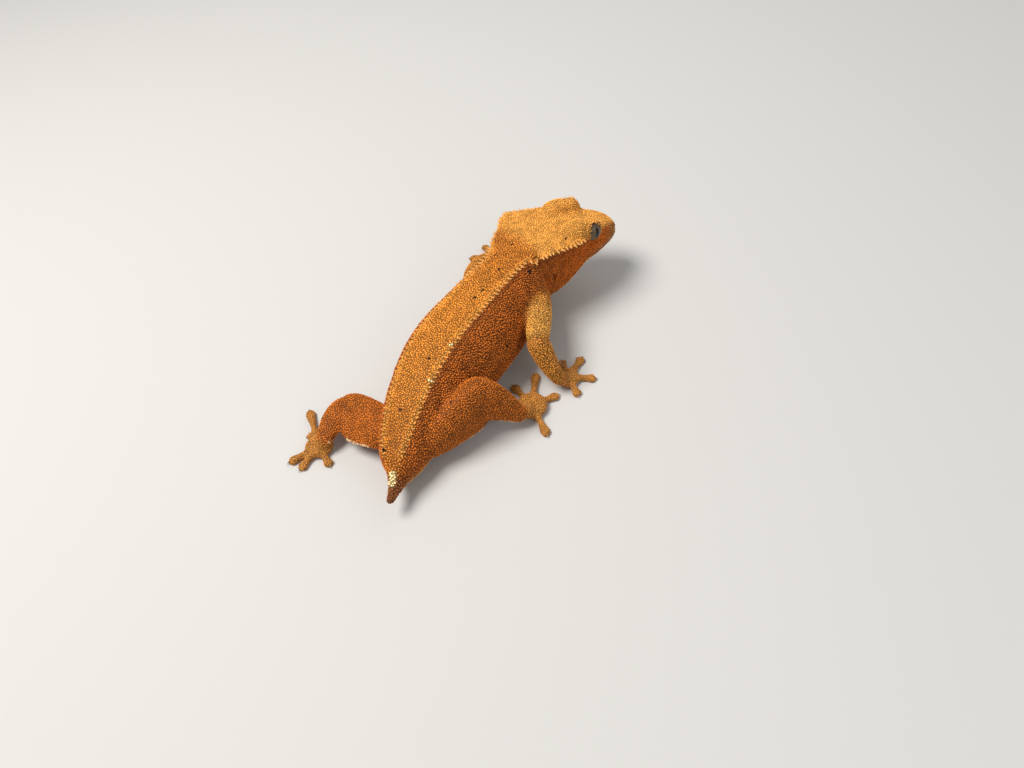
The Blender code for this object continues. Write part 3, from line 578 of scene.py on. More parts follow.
# Where each point lies on the body: its part, its share along that part and its turn round it.
tree = KDTree(sum(len(form["points"]) for form in forms))
near_form = []
for number, form in enumerate(forms):
    for index, point in enumerate(form["points"]):
        tree.insert(point, len(near_form))
        near_form.append((number, index))
tree.balance()
nearest = [near_form[tree.find(point)[1]] for point in hide]
part = np.array([forms[number]["part"] for number, _ in nearest])
share = np.array([forms[number]["share"][index] for number, index in nearest])
turn = np.array([forms[number]["turn"][index] for number, index in nearest])
lift = np.minimum(turn, 1 - turn) * RING_POINTS
on_brow = part == "brow"
above_eye = (hide - on_head(EYE_CENTRE[0], 0.0, EYE_CENTRE[2])) @ head_top
lift = np.where(on_brow, np.where(above_eye > -0.2, CREST_TURN + 4, CREST_TURN - 6), lift)
on_trunk, on_head_part = part == "trunk", (part == "head") | on_brow
on_limb = ~(on_trunk | on_head_part)
on_foot = np.isin(part, list(FEET))
on_leg = np.char.find(part, "leg") > 0
on_lower = np.char.endswith(part, "_lower")


def softened(mask, rounds=12):
    """A region's share at each point, faded over its edge."""
    values = np.asarray(mask, float)[:, None]
    for _ in range(rounds):
        values = neighbour_mean(values)
    return values[:, 0]


def ramp(values, low, high):
    t = np.clip((values - low) / (high - low), 0, 1)
    return t * t * (3 - 2 * t)


# Colours, from the golden top to the rust flanks, with painted shade under the crests and in the openings.
# They are laid on the hide, and each scale takes the colour of its root.
GOLD_TOP = (0.74, 0.275, 0.036)
HEAD_GOLD = (0.8, 0.36, 0.066)
CREST_GOLD = (0.84, 0.4, 0.075)
RUST_FLANK = (0.5, 0.132, 0.015)
RUST_CHEEK = (0.6, 0.14, 0.01)
BUFF_BELLY = (0.6, 0.32, 0.11)
SNOUT_BROWN = (0.46, 0.2, 0.06)
ARM_OCHRE = (0.76, 0.36, 0.07)
FOREARM_OCHRE = (0.62, 0.25, 0.04)
TOE_OCHRE = (0.66, 0.29, 0.06)
THIGH_RUST = (0.54, 0.15, 0.017)
PALE_FRINGE = (0.86, 0.62, 0.34)
LOIN_AMBER = (0.54, 0.175, 0.020)
LIP_TAN = (0.50, 0.28, 0.13)
# painted shade in the pits between the scales: the share of the colour kept there
PIT_PAINTED_SHADE = 0.36
# painted shadow: the dark band under each crest ridge
RIDGE_PAINTED_SHADOW = (0.20, 0.045, 0.006)
STUMP_BROWN = (0.3, 0.1, 0.032)
STUMP_CREAM = (0.86, 0.66, 0.32)
SPECK_BROWN = (0.035, 0.014, 0.007)

back_from_snout = (SNOUT - hide) @ head_ahead
tone = np.tile(RUST_FLANK, (len(hide), 1))


def lay(colour, amount):
    """Lay a colour over the hide by its amount at each point."""
    global tone
    amount = np.clip(amount, 0, 1)[:, None]
    tone = tone * (1 - amount) + np.array(colour) * amount


head_share = softened(on_head_part, 20)
lay(RUST_CHEEK, softened(on_head_part * ramp(back_from_snout, 27.0, 17.0), 30))
lay(BUFF_BELLY, softened((on_trunk | on_head_part) & (lift < 6), 20))
lay(GOLD_TOP, softened(on_trunk & (lift > CREST_TURN - 0.6), 3))
lay(LOIN_AMBER, softened(on_trunk & (lift > CREST_TURN - 0.6), 3) * ramp(share, 0.46, 0.2) * 0.85)
lay(LOIN_AMBER, softened(on_trunk & (lift > CREST_TURN - 0.6), 3) * ramp(share, 0.62, 0.8) * 0.7)
lay(HEAD_GOLD, softened(on_head_part & (lift > CREST_TURN - 0.6), 3))
lay(THIGH_RUST, softened((on_leg & on_limb) * np.where(on_lower | on_foot, 1, ramp(share, 0.02, 0.3)), 18))
lay(ARM_OCHRE, softened((on_limb & ~on_leg & ~on_foot & ~on_lower) * ramp(share, 0.08, 0.5), 18))
lay(FOREARM_OCHRE, softened(on_limb & ~on_leg & ~on_foot & on_lower, 10))
lay(TOE_OCHRE, softened(on_foot, 10) * 0.85)
lay(SNOUT_BROWN, head_share * ramp(back_from_snout, 6.0, 1.0) * ramp(lift, 25.0, 17.0) * 0.9)
lay(LIP_TAN, np.exp(-(mouth / 1.0) ** 2) * ramp(back_from_snout, 13.0, 6.0) * 0.7)
# painted shadow: a dark band on the flank just under each crest ridge
lay(RIDGE_PAINTED_SHADOW, np.exp(-((ridge - 1.5) / 0.6) ** 2) * softened(lift < CREST_TURN, 2)
    * ramp(share, 0.25, 0.5) * 0.5)
lay(CREST_GOLD, np.exp(-(ridge / 0.7) ** 2) * 0.5)
stump = softened(on_trunk & (share < 0.11), 8)
lay(STUMP_BROWN, stump * 0.85)
# painted shade: the nostrils, ear openings and mouth groove darkened with the speck colour
lay(SPECK_BROWN, opening_painted_shade * 0.88)

# Small marks: the colour, the radius in millimetres, and each one's part, share along it and turn round it
MARKS = (
    (STUMP_CREAM, 0.9, (("trunk", 0.12, 28), ("trunk", 0.09, 27))),
    (STUMP_CREAM, 0.4, (("trunk", 0.51, 35), ("trunk", 0.42, 35))),
    (SPECK_BROWN, 0.45, (("trunk", 0.67, 30), ("trunk", 0.64, 30), ("trunk", 0.79, 39), ("trunk", 0.21, 22))),
    (SPECK_BROWN, 0.36, (("trunk", 0.46, 30), ("trunk", 0.74, 29), ("trunk", 0.89, 27), ("trunk", 0.35, 27),
                         ("trunk", 0.62, 44), ("trunk", 0.55, 17), ("trunk", 0.72, 12), ("head", 0.36, 26),
                         ("head", 0.62, 31), ("right_leg_upper", 0.53, 30), ("left_leg_upper", 0.4, 26))),
)
# Rough millimetres in a part's whole length and in one step round it, and a cost for lying on another part
MARK_ALONG = 90
MARK_ROUND = 0.6
MARK_OTHER_PART = 1e4
skin.data.calc_loop_triangles()
corners = np.empty(len(skin.data.loop_triangles) * 3, np.int32)
skin.data.loop_triangles.foreach_get("vertices", corners)
corners = corners.reshape(-1, 3)
hide_surface = BVHTree.FromPolygons(hide.tolist(), corners.tolist())

# the pale edge of loose skin behind each knee and elbow, from the thigh to the ankle
FRINGE_SWELL = 3.0
FRINGE_PALENESS = {"arm": 0.25, "leg": 0.6}
fringe_lines = {}
for name, (upper, lower) in LIMBS.items():
    inward = inner_side((upper, lower))
    above_rings, below_rings = limb_rings(upper, inward)[0], limb_rings(lower, inward)[0]
    start, end = above_rings[int(0.22 * len(above_rings)), 0], below_rings[int(0.86 * len(below_rings)), 0]
    bend = above_rings[-1].mean(0)
    outward = unit((start + end) / 2 - bend)
    way = np.linspace(0, 1, 260)[:, None]
    beyond = start * (1 - way) + end * way + outward * (0.6 + FRINGE_SWELL * 4 * way * (1 - way))
    fringe = np.array([hide_surface.find_nearest(Vector(place))[0] for place in beyond])
    fringe_lines[name] = (fringe, unit(beyond - fringe) + outward)
    paleness = FRINGE_PALENESS[name[-3:]]
    lay(PALE_FRINGE, np.exp(-(line_distance(hide, fringe[::3], 1.2) / 0.32) ** 2) * paleness)
mark_places = []
for colour, radius, places in MARKS:
    for name, along_part, round_part in places:
        away = (((share - along_part) * MARK_ALONG) ** 2 + ((turn * RING_POINTS - round_part) * MARK_ROUND) ** 2
                + MARK_OTHER_PART * (part != name))
        place = hide[np.argmin(away)]
        mark_places.append((place, colour, radius))
        lay(colour, 1.1 * np.exp(-(np.linalg.norm(hide - place, axis=1) / radius) ** 4))

# painted shade: the hide is painted darker in the pits between the scales, where shade falls
covered = softened(bare < 0.5, 2)[:, None]
tone_with_painted_pit_shade = tone * (1 - covered * (1 - PIT_PAINTED_SHADE) * (1 - 0.35 * head_share[:, None]))
tone_layer = skin.data.attributes.new("tone", "FLOAT_COLOR", "POINT")
tone_layer.data.foreach_set("color", np.hstack((tone_with_painted_pit_shade, np.ones((len(tone), 1)))).astype(np.float32).ravel())
set_places(skin.data, hide)
skin.data.polygons.foreach_set("use_smooth", np.ones(len(skin.data.polygons), bool))
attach(skin, "root")
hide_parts(*FLESH)


def hide_material(name, grain):
    """The dry, velvety hide: its colour at each point, painted shade and highlight included, mottled, with a
    fine grain.
    """
    material = bpy.data.materials.new(name)
    material.use_nodes = True
    nodes, links = material.node_tree.nodes, material.node_tree.links
    shader = nodes["Principled BSDF"]
    shader.inputs["Roughness"].default_value = 0.6
    shader.inputs["Specular IOR Level"].default_value = 0.16
    place = nodes.new("ShaderNodeTexCoord")
    own = nodes.new("ShaderNodeAttribute")
    own.attribute_name = "tone"
    mottle = nodes.new("ShaderNodeTexNoise")
    mottle.inputs["Scale"].default_value = 420.0
    mottle.inputs["Detail"].default_value = 5.0
    links.new(place.outputs["Object"], mottle.inputs["Vector"])
    shade = nodes.new("ShaderNodeMapRange")
    shade.inputs["From Min"].default_value = 0.3
    shade.inputs["From Max"].default_value = 0.7
    shade.inputs["To Min"].default_value = 0.78
    shade.inputs["To Max"].default_value = 1.2
    links.new(mottle.outputs["Fac"], shade.inputs["Value"])
    tint = nodes.new("ShaderNodeVectorMath")
    tint.operation = "SCALE"
    links.new(own.outputs["Color"], tint.inputs[0])
    links.new(shade.outputs["Result"], tint.inputs["Scale"])
    links.new(tint.outputs["Vector"], shader.inputs["Base Color"])
    fine = nodes.new("ShaderNodeTexNoise")
    fine.inputs["Scale"].default_value = 3800.0
    fine.inputs["Detail"].default_value = 3.0
    links.new(place.outputs["Object"], fine.inputs["Vector"])
    bump = nodes.new("ShaderNodeBump")
    bump.inputs["Strength"].default_value = grain
    bump.inputs["Distance"].default_value = 0.00006
    links.new(fine.outputs["Fac"], bump.inputs["Height"])
    links.new(bump.outputs["Normal"], shader.inputs["Normal"])
    return material


hide_finish = hide_material("hide", 0.5)
skin.data.materials.clear()
skin.data.materials.append(hide_finish)

# The eyes, one ball in each opening, under a clear fixed scale. The iris is grey-brown with dark veins, and
# the pupil is an upright slit with notched edges. On a model each is cast glass, set in from behind.

IRIS_GREY = (0.16, 0.115, 0.062)
IRIS_VEIN = (0.055, 0.032, 0.020)
PUPIL_BLACK = (0.004, 0.004, 0.004)
PUPIL_HALF_HEIGHT = 0.74
PUPIL_HALF_WIDTH = 0.18
EYE_ROWS = 72
EYE_SIDES = 128


def eye_material():
    material = bpy.data.materials.new("eye_glass")
    material.use_nodes = True
    shader = material.node_tree.nodes["Principled BSDF"]
    shader.inputs["Roughness"].default_value = 0.1
    shader.inputs["IOR"].default_value = 1.36
    own = material.node_tree.nodes.new("ShaderNodeAttribute")
    own.attribute_name = "tone"
    material.node_tree.links.new(own.outputs["Color"], shader.inputs["Base Color"])
    return material


eye_finish = eye_material()
for name, hand in (("left", 1), ("right", -1)):
    centre, gaze, ahead, high = eye_axes(hand)
    points = [gaze]
    for row in range(1, EYE_ROWS):
        bend = math.pi * row / EYE_ROWS
        spin = np.linspace(0, 2 * math.pi, EYE_SIDES, endpoint=False)
        points += list(math.cos(bend) * gaze + math.sin(bend)
                       * (np.cos(spin)[:, None] * ahead + np.sin(spin)[:, None] * high))
    points.append(-gaze)
    points = np.array(points)
    faces = [(0, 1 + i, 1 + (i + 1) % EYE_SIDES) for i in range(EYE_SIDES)]
    for row in range(EYE_ROWS - 2):
        for i in range(EYE_SIDES):
            j = (i + 1) % EYE_SIDES
            faces.append((1 + row * EYE_SIDES + i, 1 + (row + 1) * EYE_SIDES + i,
                          1 + (row + 1) * EYE_SIDES + j, 1 + row * EYE_SIDES + j))
    last = 1 + (EYE_ROWS - 2) * EYE_SIDES
    faces += [(len(points) - 1, last + (i + 1) % EYE_SIDES, last + i) for i in range(EYE_SIDES)]
    if hand < 0:
        faces = [face[::-1] for face in faces]
    across, upward = points @ ahead, points @ high
    angle = np.arctan2(upward, across)
    streak = 0.5 + 0.25 * np.sin(angle * 23 + 3 * np.sin(angle * 5)) + 0.25 * np.sin(angle * 51 + across * 14)
    colour = np.array(IRIS_GREY) * (1 - 0.6 * streak[:, None]) + np.array(IRIS_VEIN) * 0.6 * streak[:, None]
    edge_dark = ramp(np.hypot(across, upward), 0.72, 0.95)[:, None]
    colour = colour * (1 - edge_dark) + np.array(IRIS_VEIN) * edge_dark
    slit = PUPIL_HALF_WIDTH * np.maximum(0, 1 - (upward / PUPIL_HALF_HEIGHT) ** 2)
    slit *= 1 + 0.25 * np.cos(upward * 26)
    pupil = (ramp(np.abs(across), slit + 0.03, slit - 0.01) * (np.abs(upward) < PUPIL_HALF_HEIGHT)
             * (points @ gaze > 0))
    colour = colour * (1 - pupil[:, None]) + np.array(PUPIL_BLACK) * pupil[:, None]
    eye = as_object("eye_" + name + "_glass", centre + points * EYE_RADIUS, faces)
    layer = eye.data.attributes.new("tone", "FLOAT_COLOR", "POINT")
    layer.data.foreach_set("color", np.hstack((colour, np.ones((len(colour), 1)))).astype(np.float32).ravel())
    eye.data.polygons.foreach_set("use_smooth", np.ones(len(faces), bool))
    eye.data.materials.append(eye_finish)
    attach(eye, "root")
    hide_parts("eye_" + name)

# The scales, fine round granules that cover the whole hide and leave only the mouth, eyes and ears bare.
# Each is a low closed dome rooted in the skin, with the colour of the hide at its root, painted darker at its
# root and lighter at its crown as painted shade and highlight.

SCALE_SEED = 11
SCALE_PITCH = {"back": 0.50, "flank": 0.50, "belly": 0.62, "head": 0.46, "snout": 0.40, "limb": 0.46,
               "foot": 0.35}
SCALE_SIDES = 6
SCALE_LIMIT = 5500
ROOT_PATCH = 0.0015
draw = np.random.default_rng(SCALE_SEED)

pitch = np.full(len(hide), SCALE_PITCH["flank"])
for region, mask in (("back", on_trunk & (lift > CREST_TURN)), ("belly", on_trunk & (lift < 5)),
                     ("head", on_head_part), ("snout", on_head_part & (back_from_snout < 7)),
                     ("limb", on_limb), ("foot", on_foot),
                     ("snout", on_trunk & (share < 0.08))):
    pitch[mask] = SCALE_PITCH[region]
pitch = softened(pitch, 20)

skin_normals = normals_of(hide)
first, second, third = (hide[corners[:, k]] for k in range(3))
area = np.linalg.norm(np.cross(second - first, third - first), axis=1) / 2
weight = area / pitch[corners].mean(1) ** 2
wanted = int(weight.sum() * 5)
chosen = draw.choice(len(corners), wanted, p=weight / weight.sum())
mix = draw.random((wanted, 2))
mix = np.where(mix.sum(1, keepdims=True) > 1, 1 - mix, mix)
mix = np.column_stack((1 - mix.sum(1), mix))


def at_roots(values, chosen, mix):
    """Values of the hide at places inside its triangles."""
    values = np.asarray(values, float)
    picked = values[corners[chosen]]
    return np.einsum("ij,ij...->i...", mix, picked)


roots = at_roots(hide, chosen, mix)
keep_off = at_roots(bare, chosen, mix) > 0.5
spacing = at_roots(pitch, chosen, mix) * 0.86
cell = spacing.max()
cells = np.floor(roots / cell).astype(int)
grid = {}
kept = []
listed = roots.tolist()
limits = (spacing ** 2).tolist()
for i, (a, b, c) in enumerate(cells.tolist()):
    if keep_off[i]:
        continue
    x, y, z = listed[i]
    limit = limits[i]
    clear = True
    for key in ((a + u, b + v, c + w) for u in (-1, 0, 1) for v in (-1, 0, 1) for w in (-1, 0, 1)):
        for p, q, r in grid.get(key, ()):
            if (x - p) ** 2 + (y - q) ** 2 + (z - r) ** 2 < limit:
                clear = False
                break
        if not clear:
            break
    if clear:
        grid.setdefault((a, b, c), []).append((x, y, z))
        kept.append(i)
kept = np.array(kept)
roots, chosen, mix = roots[kept], chosen[kept], mix[kept]
scale_tree = KDTree(len(roots))
for i, root in enumerate(roots):
    scale_tree.insert(root, i)
scale_tree.balance()
gap = np.array([np.mean([d for _, _, d in scale_tree.find_n(root, 5)[1:]]) for root in roots])
scale_radius = np.clip(gap * 0.50, 0.12, 0.42)
scale_normal = unit(at_roots(skin_normals, chosen, mix))
scale_tone = at_roots(tone, chosen, mix)
for place, colour, radius in mark_places:
    within = np.linalg.norm(roots - place, axis=1) < radius
    scale_tone[within] = colour
    scale_radius[within] = np.minimum(scale_radius[within] * 1.25, 0.42)


# Each scale's patch on the map is a small hexagon at its root's place, on the skin laid flat part by part.
map_part = np.unique(part, return_inverse=True)[1]


def laid_flat(points, normals, parts):
    """Each point's chart on a flat layout of the skin, one for each part seen from its six sides, and its place
    on it.
    """
    side_of = np.argmax(np.abs(normals), axis=1) * 2 + (np.take_along_axis(
        normals, np.argmax(np.abs(normals), axis=1)[:, None], 1)[:, 0] > 0)
    chart = parts * 6 + side_of
    axes = np.array(((1, 2), (1, 2), (0, 2), (0, 2), (0, 1), (0, 1)))[side_of]
    flat = np.take_along_axis(points, axes, 1)
    return chart, flat


skin_chart, skin_flat = laid_flat(hide, skin_normals, map_part)
charts = []
for chart in np.unique(skin_chart):
    inside = skin_flat[skin_chart == chart]
    low, high = inside.min(0) - 1.2, inside.max(0) + 1.2
    charts.append((chart, low, high - low))
charts.sort(key=lambda row: -row[2][1])
chart_side = math.sqrt(sum(size[0] * size[1] for _, _, size in charts)) * 1.12
chart_place = {}
across_row, row_start, row_height = 0.0, 0.0, 0.0
for chart, low, size in charts:
    if across_row + size[0] > chart_side:
        row_start += row_height
        across_row, row_height = 0.0, 0.0
    chart_place[chart] = (across_row - low[0], row_start - low[1])
    across_row += size[0]
    row_height = max(row_height, size[1])
chart_scale = 1.0 / max(chart_side, row_start + row_height)


def map_places(points, normals, parts):
    chart, flat = laid_flat(points, normals, parts)
    shift = np.array([chart_place.get(c, (0.0, 0.0)) for c in chart])
    return (flat + shift) * chart_scale


scale_part = map_part[corners[chosen][:, 0]]
scale_map = map_places(roots, scale_normal, scale_part)


def cross_axes(normals):
    """Two axes square to each normal."""
    helper = np.where(np.abs(normals[:, 2:3]) < 0.9, np.array((0, 0, 1.0)), np.array((1.0, 0, 0)))
    first = unit(np.cross(helper, normals))
    return first, np.cross(normals, first)


def coat_piece(name, points, faces, tones, patches, material):
    """A piece of the coat, with its colours and the map for baking them."""
    piece = as_object(name, points, faces)
    layer = piece.data.attributes.new("tone", "FLOAT_COLOR", "POINT")
    layer.data.foreach_set("color", np.hstack((tones, np.ones((len(tones), 1)))).astype(np.float32).ravel())
    loops = np.empty(len(piece.data.loops), np.int32)
    piece.data.loops.foreach_get("vertex_index", loops)
    layout = piece.data.uv_layers.new(name="OFBake")
    layout.data.foreach_set("uv", patches[loops].astype(np.float32).ravel())
    piece.data.polygons.foreach_set("use_smooth", np.ones(len(piece.data.polygons), bool))
    piece.data.materials.append(material)
    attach(piece, "root")
    return piece


# rings of a scale from its root to its crown: radius and height in scale radii, and lightness, a painted shade
# low down and a painted highlight at the crown
SCALE_RINGS = ((1.0, -0.35, 0.22), (0.84, 0.20, 0.60), (0.46, 0.68, 1.30), (0.0, 0.82, 1.95))
spin = np.linspace(0, 2 * math.pi, SCALE_SIDES, endpoint=False)
local = [(r * math.cos(a), r * math.sin(a), h) for r, h, _ in SCALE_RINGS[:-1] for a in spin]
local.append((0.0, 0.0, SCALE_RINGS[-1][1]))
local = np.array(local)
# painted shade and highlight: each ring's lightness darkens the scale's root and lightens its crown
light = np.array([l for _, _, l in SCALE_RINGS[:-1] for _ in spin] + [SCALE_RINGS[-1][2]])
shape_faces = [tuple(range(SCALE_SIDES))[::-1]]
for ring in range(len(SCALE_RINGS) - 2):
    for i in range(SCALE_SIDES):
        j = (i + 1) % SCALE_SIDES
        shape_faces.append((ring * SCALE_SIDES + i, ring * SCALE_SIDES + j,
                            (ring + 1) * SCALE_SIDES + j, (ring + 1) * SCALE_SIDES + i))
top_ring = (len(SCALE_RINGS) - 2) * SCALE_SIDES
shape_faces += [(top_ring + i, top_ring + (i + 1) % SCALE_SIDES, len(local) - 1) for i in range(SCALE_SIDES)]

scale_finish = hide_material("scale", 0.25)
lie = draw.uniform(0, 2 * math.pi, len(roots))
one, two = cross_axes(scale_normal)
flat_one = one * np.cos(lie)[:, None] + two * np.sin(lie)[:, None]
flat_two = two * np.cos(lie)[:, None] - one * np.sin(lie)[:, None]
size = scale_radius * draw.uniform(0.9, 1.08, len(roots))
rise = draw.uniform(0.85, 1.2, len(roots)) * (1 - 0.4 * at_roots(softened(on_foot, 6), chosen, mix))
lightness = draw.uniform(0.7, 1.34, len(roots))
order = np.lexsort((roots[:, 0], roots[:, 1]))
count = math.ceil(len(order) / SCALE_LIMIT)
for number, group in enumerate(np.array_split(order, count)):
    points = (roots[group][:, None] + size[group][:, None, None] * (
        local[None, :, 0:1] * flat_one[group][:, None] + local[None, :, 1:2] * flat_two[group][:, None]
        + local[None, :, 2:3] * rise[group][:, None, None] * scale_normal[group][:, None]))
    points = points.reshape(-1, 3)
    points[:, 2] = np.maximum(points[:, 2], 0.01)
    # painted shade and highlight: each scale's colour times the lightness of its rings
    tones = (scale_tone[group] * lightness[group][:, None])[:, None] * light[None, :, None]
    patches = scale_map[group][:, None] + local[None, :, :2] * ROOT_PATCH
    faces = []
    for k in range(len(group)):
        faces += [tuple(k * len(local) + i for i in face) for face in shape_faces]
    coat_piece(f"scales_{number + 1}", points, faces, tones.reshape(-1, 3), patches.reshape(-1, 2),
               scale_finish)

# The crests: a row of soft pointed teeth along each edge of the head's flat top, on down the neck and back,
# where they shrink away. Each is a conical scale that grows from the ridge, golden with a cream tip.

TOOTH_SEED = 5
CREAM_TIP = (0.95, 0.60, 0.24)
HEAD_TOOTH = (1.3, 1.6, 0.38)
BACK_TOOTH = (1.3, 0.6, 0.28)
TOOTH_SIDES = 7
TOOTH_CLEARANCE = 0.9
# rings of a tooth from its sunk root up: share of the length, share of the radius, share of the tip's colour
TOOTH_RINGS = ((-0.35, 1.15, 0.0), (0.05, 1.0, 0.1), (0.35, 0.6, 0.3), (0.7, 0.3, 0.7))
draw = np.random.default_rng(TOOTH_SEED)


def rooted(places):
    """The nearest places on the hide, with its normals, colours and patches on the map there."""
    found, normals, tones, patches = [], [], [], []
    for place in places:
        near, normal, index, _ = hide_surface.find_nearest(Vector(place))
        found.append(near)
        normals.append(normal)
        corner = corners[index][0]
        tones.append(tone[corners[index]].mean(0))
        patches.append(map_places(np.array([near]), np.array([normal]), map_part[corner:corner + 1])[0])
    return np.array(found), np.array(normals), np.array(tones), np.array(patches)


def teeth(name, places, directions, lengths, radii, tip_colour, tip_share=1.0, hook=0.08, root_share=0.0):
    """A row of pointed teeth, joined as one piece, each rooted in the hide and hooked a little backwards."""
    count = len(places)
    base, _, tones, patches = rooted(places)
    tones = tones * (1 - root_share) + np.array(tip_colour) * root_share
    forward = unit(directions)
    one, two = cross_axes(forward)
    spin = np.linspace(0, 2 * math.pi, TOOTH_SIDES, endpoint=False)
    points, colours, layout = [], [], []
    for share, girth, mix in (*TOOTH_RINGS, (1.0, 0.0, 1.0)):
        bent = (lengths * max(0, share) ** 2)[:, None]
        middle = base + forward * (lengths * share)[:, None] + hook * (head_top - head_ahead) * bent
        around = spin if girth else spin[:1]
        for a in around:
            points.append(middle + (one * math.cos(a) + two * math.sin(a)) * (radii * girth)[:, None])
            colours.append(tones * (1 - mix * tip_share) + np.array(tip_colour) * mix * tip_share)
            layout.append(patches + np.array((math.cos(a), math.sin(a))) * ROOT_PATCH * (1 - max(0, share)))
    per = len(points)
    points = np.stack(points, axis=1).reshape(-1, 3)
    points[:, 2] = np.maximum(points[:, 2], 0.01)
    rows = len(TOOTH_RINGS)
    shape = [tuple(range(TOOTH_SIDES))[::-1]]
    for row in range(rows - 1):
        for i in range(TOOTH_SIDES):
            j = (i + 1) % TOOTH_SIDES
            shape.append((row * TOOTH_SIDES + i, row * TOOTH_SIDES + j,
                          (row + 1) * TOOTH_SIDES + j, (row + 1) * TOOTH_SIDES + i))
    shape += [((rows - 1) * TOOTH_SIDES + i, (rows - 1) * TOOTH_SIDES + (i + 1) % TOOTH_SIDES, per - 1)
              for i in range(TOOTH_SIDES)]
    faces = [tuple(k * per + i for i in face) for k in range(count) for face in shape]
    return coat_piece(name, points, faces, np.stack(colours, axis=1).reshape(-1, 3),
                      np.stack(layout, axis=1).reshape(-1, 2), scale_finish)


def walk(line, pitches):
    """Indices of a dense line at steps of the pitch, which may change along it."""
    steps = np.linalg.norm(np.diff(line, axis=0), axis=1)
    picked, walked = [0], 0.0
    wanted = pitches[0]
    for i, step in enumerate(steps):
        walked += step
        if walked >= wanted:
            picked.append(i + 1)
            walked = 0.0
            wanted = pitches[i + 1] * draw.uniform(0.82, 1.18)
    return np.array(picked)


back_places = np.linspace(*BACK_CREST, BACK_STEPS)
growth = np.concatenate((np.clip(0.6 + 0.4 * np.linspace(0, 3, HEAD_STEPS), 0, 1), np.ones(NECK_STEPS),
                         np.clip((back_places - 2.0) / 9.5, 0.12, 1) ** 1.5))
for name, hand, line in (("left", 1, crest_lines[0]), ("right", -1, crest_lines[1])):
    headings = along(TRUNK_SECTIONS, back_places)[:, 3]
    ways = np.array([head_left * hand] * (HEAD_STEPS + NECK_STEPS)
                    + [trunk_axes(heading)[0] * hand + trunk_axes(heading)[1] * 0.12 for heading in headings])
    picked = walk(line, BACK_TOOTH[0] + (HEAD_TOOTH[0] - BACK_TOOTH[0]) * growth)
    eye_place = eye_axes(hand)[0]
    picked = picked[np.linalg.norm(line[picked] - eye_place, axis=1) > EYE_RADIUS + 1.1]
    # where the line turns in behind the head, teeth that would bunch are left out
    kept = [picked[0]]
    for i in picked[1:]:
        near, last = (hide_surface.find_nearest(Vector(line[k] + ways[k] * 0.6))[0] for k in (i, kept[-1]))
        if (near - last).length > TOOTH_CLEARANCE:
            kept.append(i)
    picked = np.array(kept)
    size = BACK_TOOTH[1] + (HEAD_TOOTH[1] - BACK_TOOTH[1]) * growth[picked]
    girth = BACK_TOOTH[2] + (HEAD_TOOTH[2] - BACK_TOOTH[2]) * growth[picked]
    teeth("crest_" + name, line[picked] + ways[picked] * 0.6,
          ways[picked] + draw.normal(0, 0.11, (len(picked), 3)),
          size * draw.uniform(0.8, 1.15, len(picked)), girth, CREAM_TIP)
    # a row of smaller cones lies just inside the teeth
    picked = walk(line, np.full(len(line), 1.0))
    picked = picked[np.linalg.norm(line[picked] - eye_place, axis=1) > EYE_RADIUS + 1.6]
    inward = line[picked] - ways[picked] * 0.75
    teeth("crest_inner_" + name, inward, np.tile(head_top, (len(picked), 1)) + ways[picked] * 0.8
          + draw.normal(0, 0.15, (len(picked), 3)), 0.5 * draw.uniform(0.6, 1.2, len(picked)),
          np.full(len(picked), 0.28), CREST_GOLD, 0.5)

# The lashes: a fan of thin soft spines over each eye, from its front corner to behind it. Each is a drawn-out
# conical scale that grows from the rim of the opening.

LASH_COUNT = 11
LASH_SPAN = (math.radians(58), math.radians(-82))
LASH_TILT = math.radians(72)
LASH_LENGTH = 1.15
LASH_RADIUS = 0.26
for name, hand in (("left", 1), ("right", -1)):
    centre, gaze, ahead, high = eye_axes(hand)
    spin = np.linspace(*LASH_SPAN, LASH_COUNT) + draw.normal(0, 0.03, LASH_COUNT)
    away = np.cos(spin)[:, None] * high + np.sin(spin)[:, None] * ahead
    from_eye = math.cos(LASH_TILT) * gaze + math.sin(LASH_TILT) * away
    ways = from_eye * 0.75 + gaze * 0.8 - head_ahead * 0.1 + draw.normal(0, 0.06, (LASH_COUNT, 3))
    size = LASH_LENGTH * draw.uniform(0.7, 1.15, LASH_COUNT) * (0.7 + 0.3 * np.cos(spin * 1.1))
    teeth("lashes_" + name, centre + from_eye * (EYE_RADIUS + 0.7), ways, size,
          np.full(LASH_COUNT, LASH_RADIUS), CREAM_TIP, 0.7)

# The fringes: the loose skin behind each knee and elbow ends in a ruffled edge of blunt pale scales, close
# together along the fold.

FRINGE_PITCH = 0.6
FRINGE_LENGTH = 0.46
FRINGE_RADIUS = 0.32
for name, (line, ways) in fringe_lines.items():
    strength = 1.0 if "leg" in name else 0.6
    picked = walk(line, np.full(len(line), FRINGE_PITCH))
    vary = draw.uniform(0.7, 1.3, len(picked)) * strength
    teeth("fringe_" + name, line[picked], ways[picked] + draw.normal(0, 0.15, (len(picked), 3)),
          FRINGE_LENGTH * vary, np.full(len(picked), FRINGE_RADIUS * strength), PALE_FRINGE, 1.0, 0.0, 0.6)

# The claws: one short, sharp, hooked claw at the end of each toe, set in the skin over the pad. Horn, dark at
# the root and clear at the point.

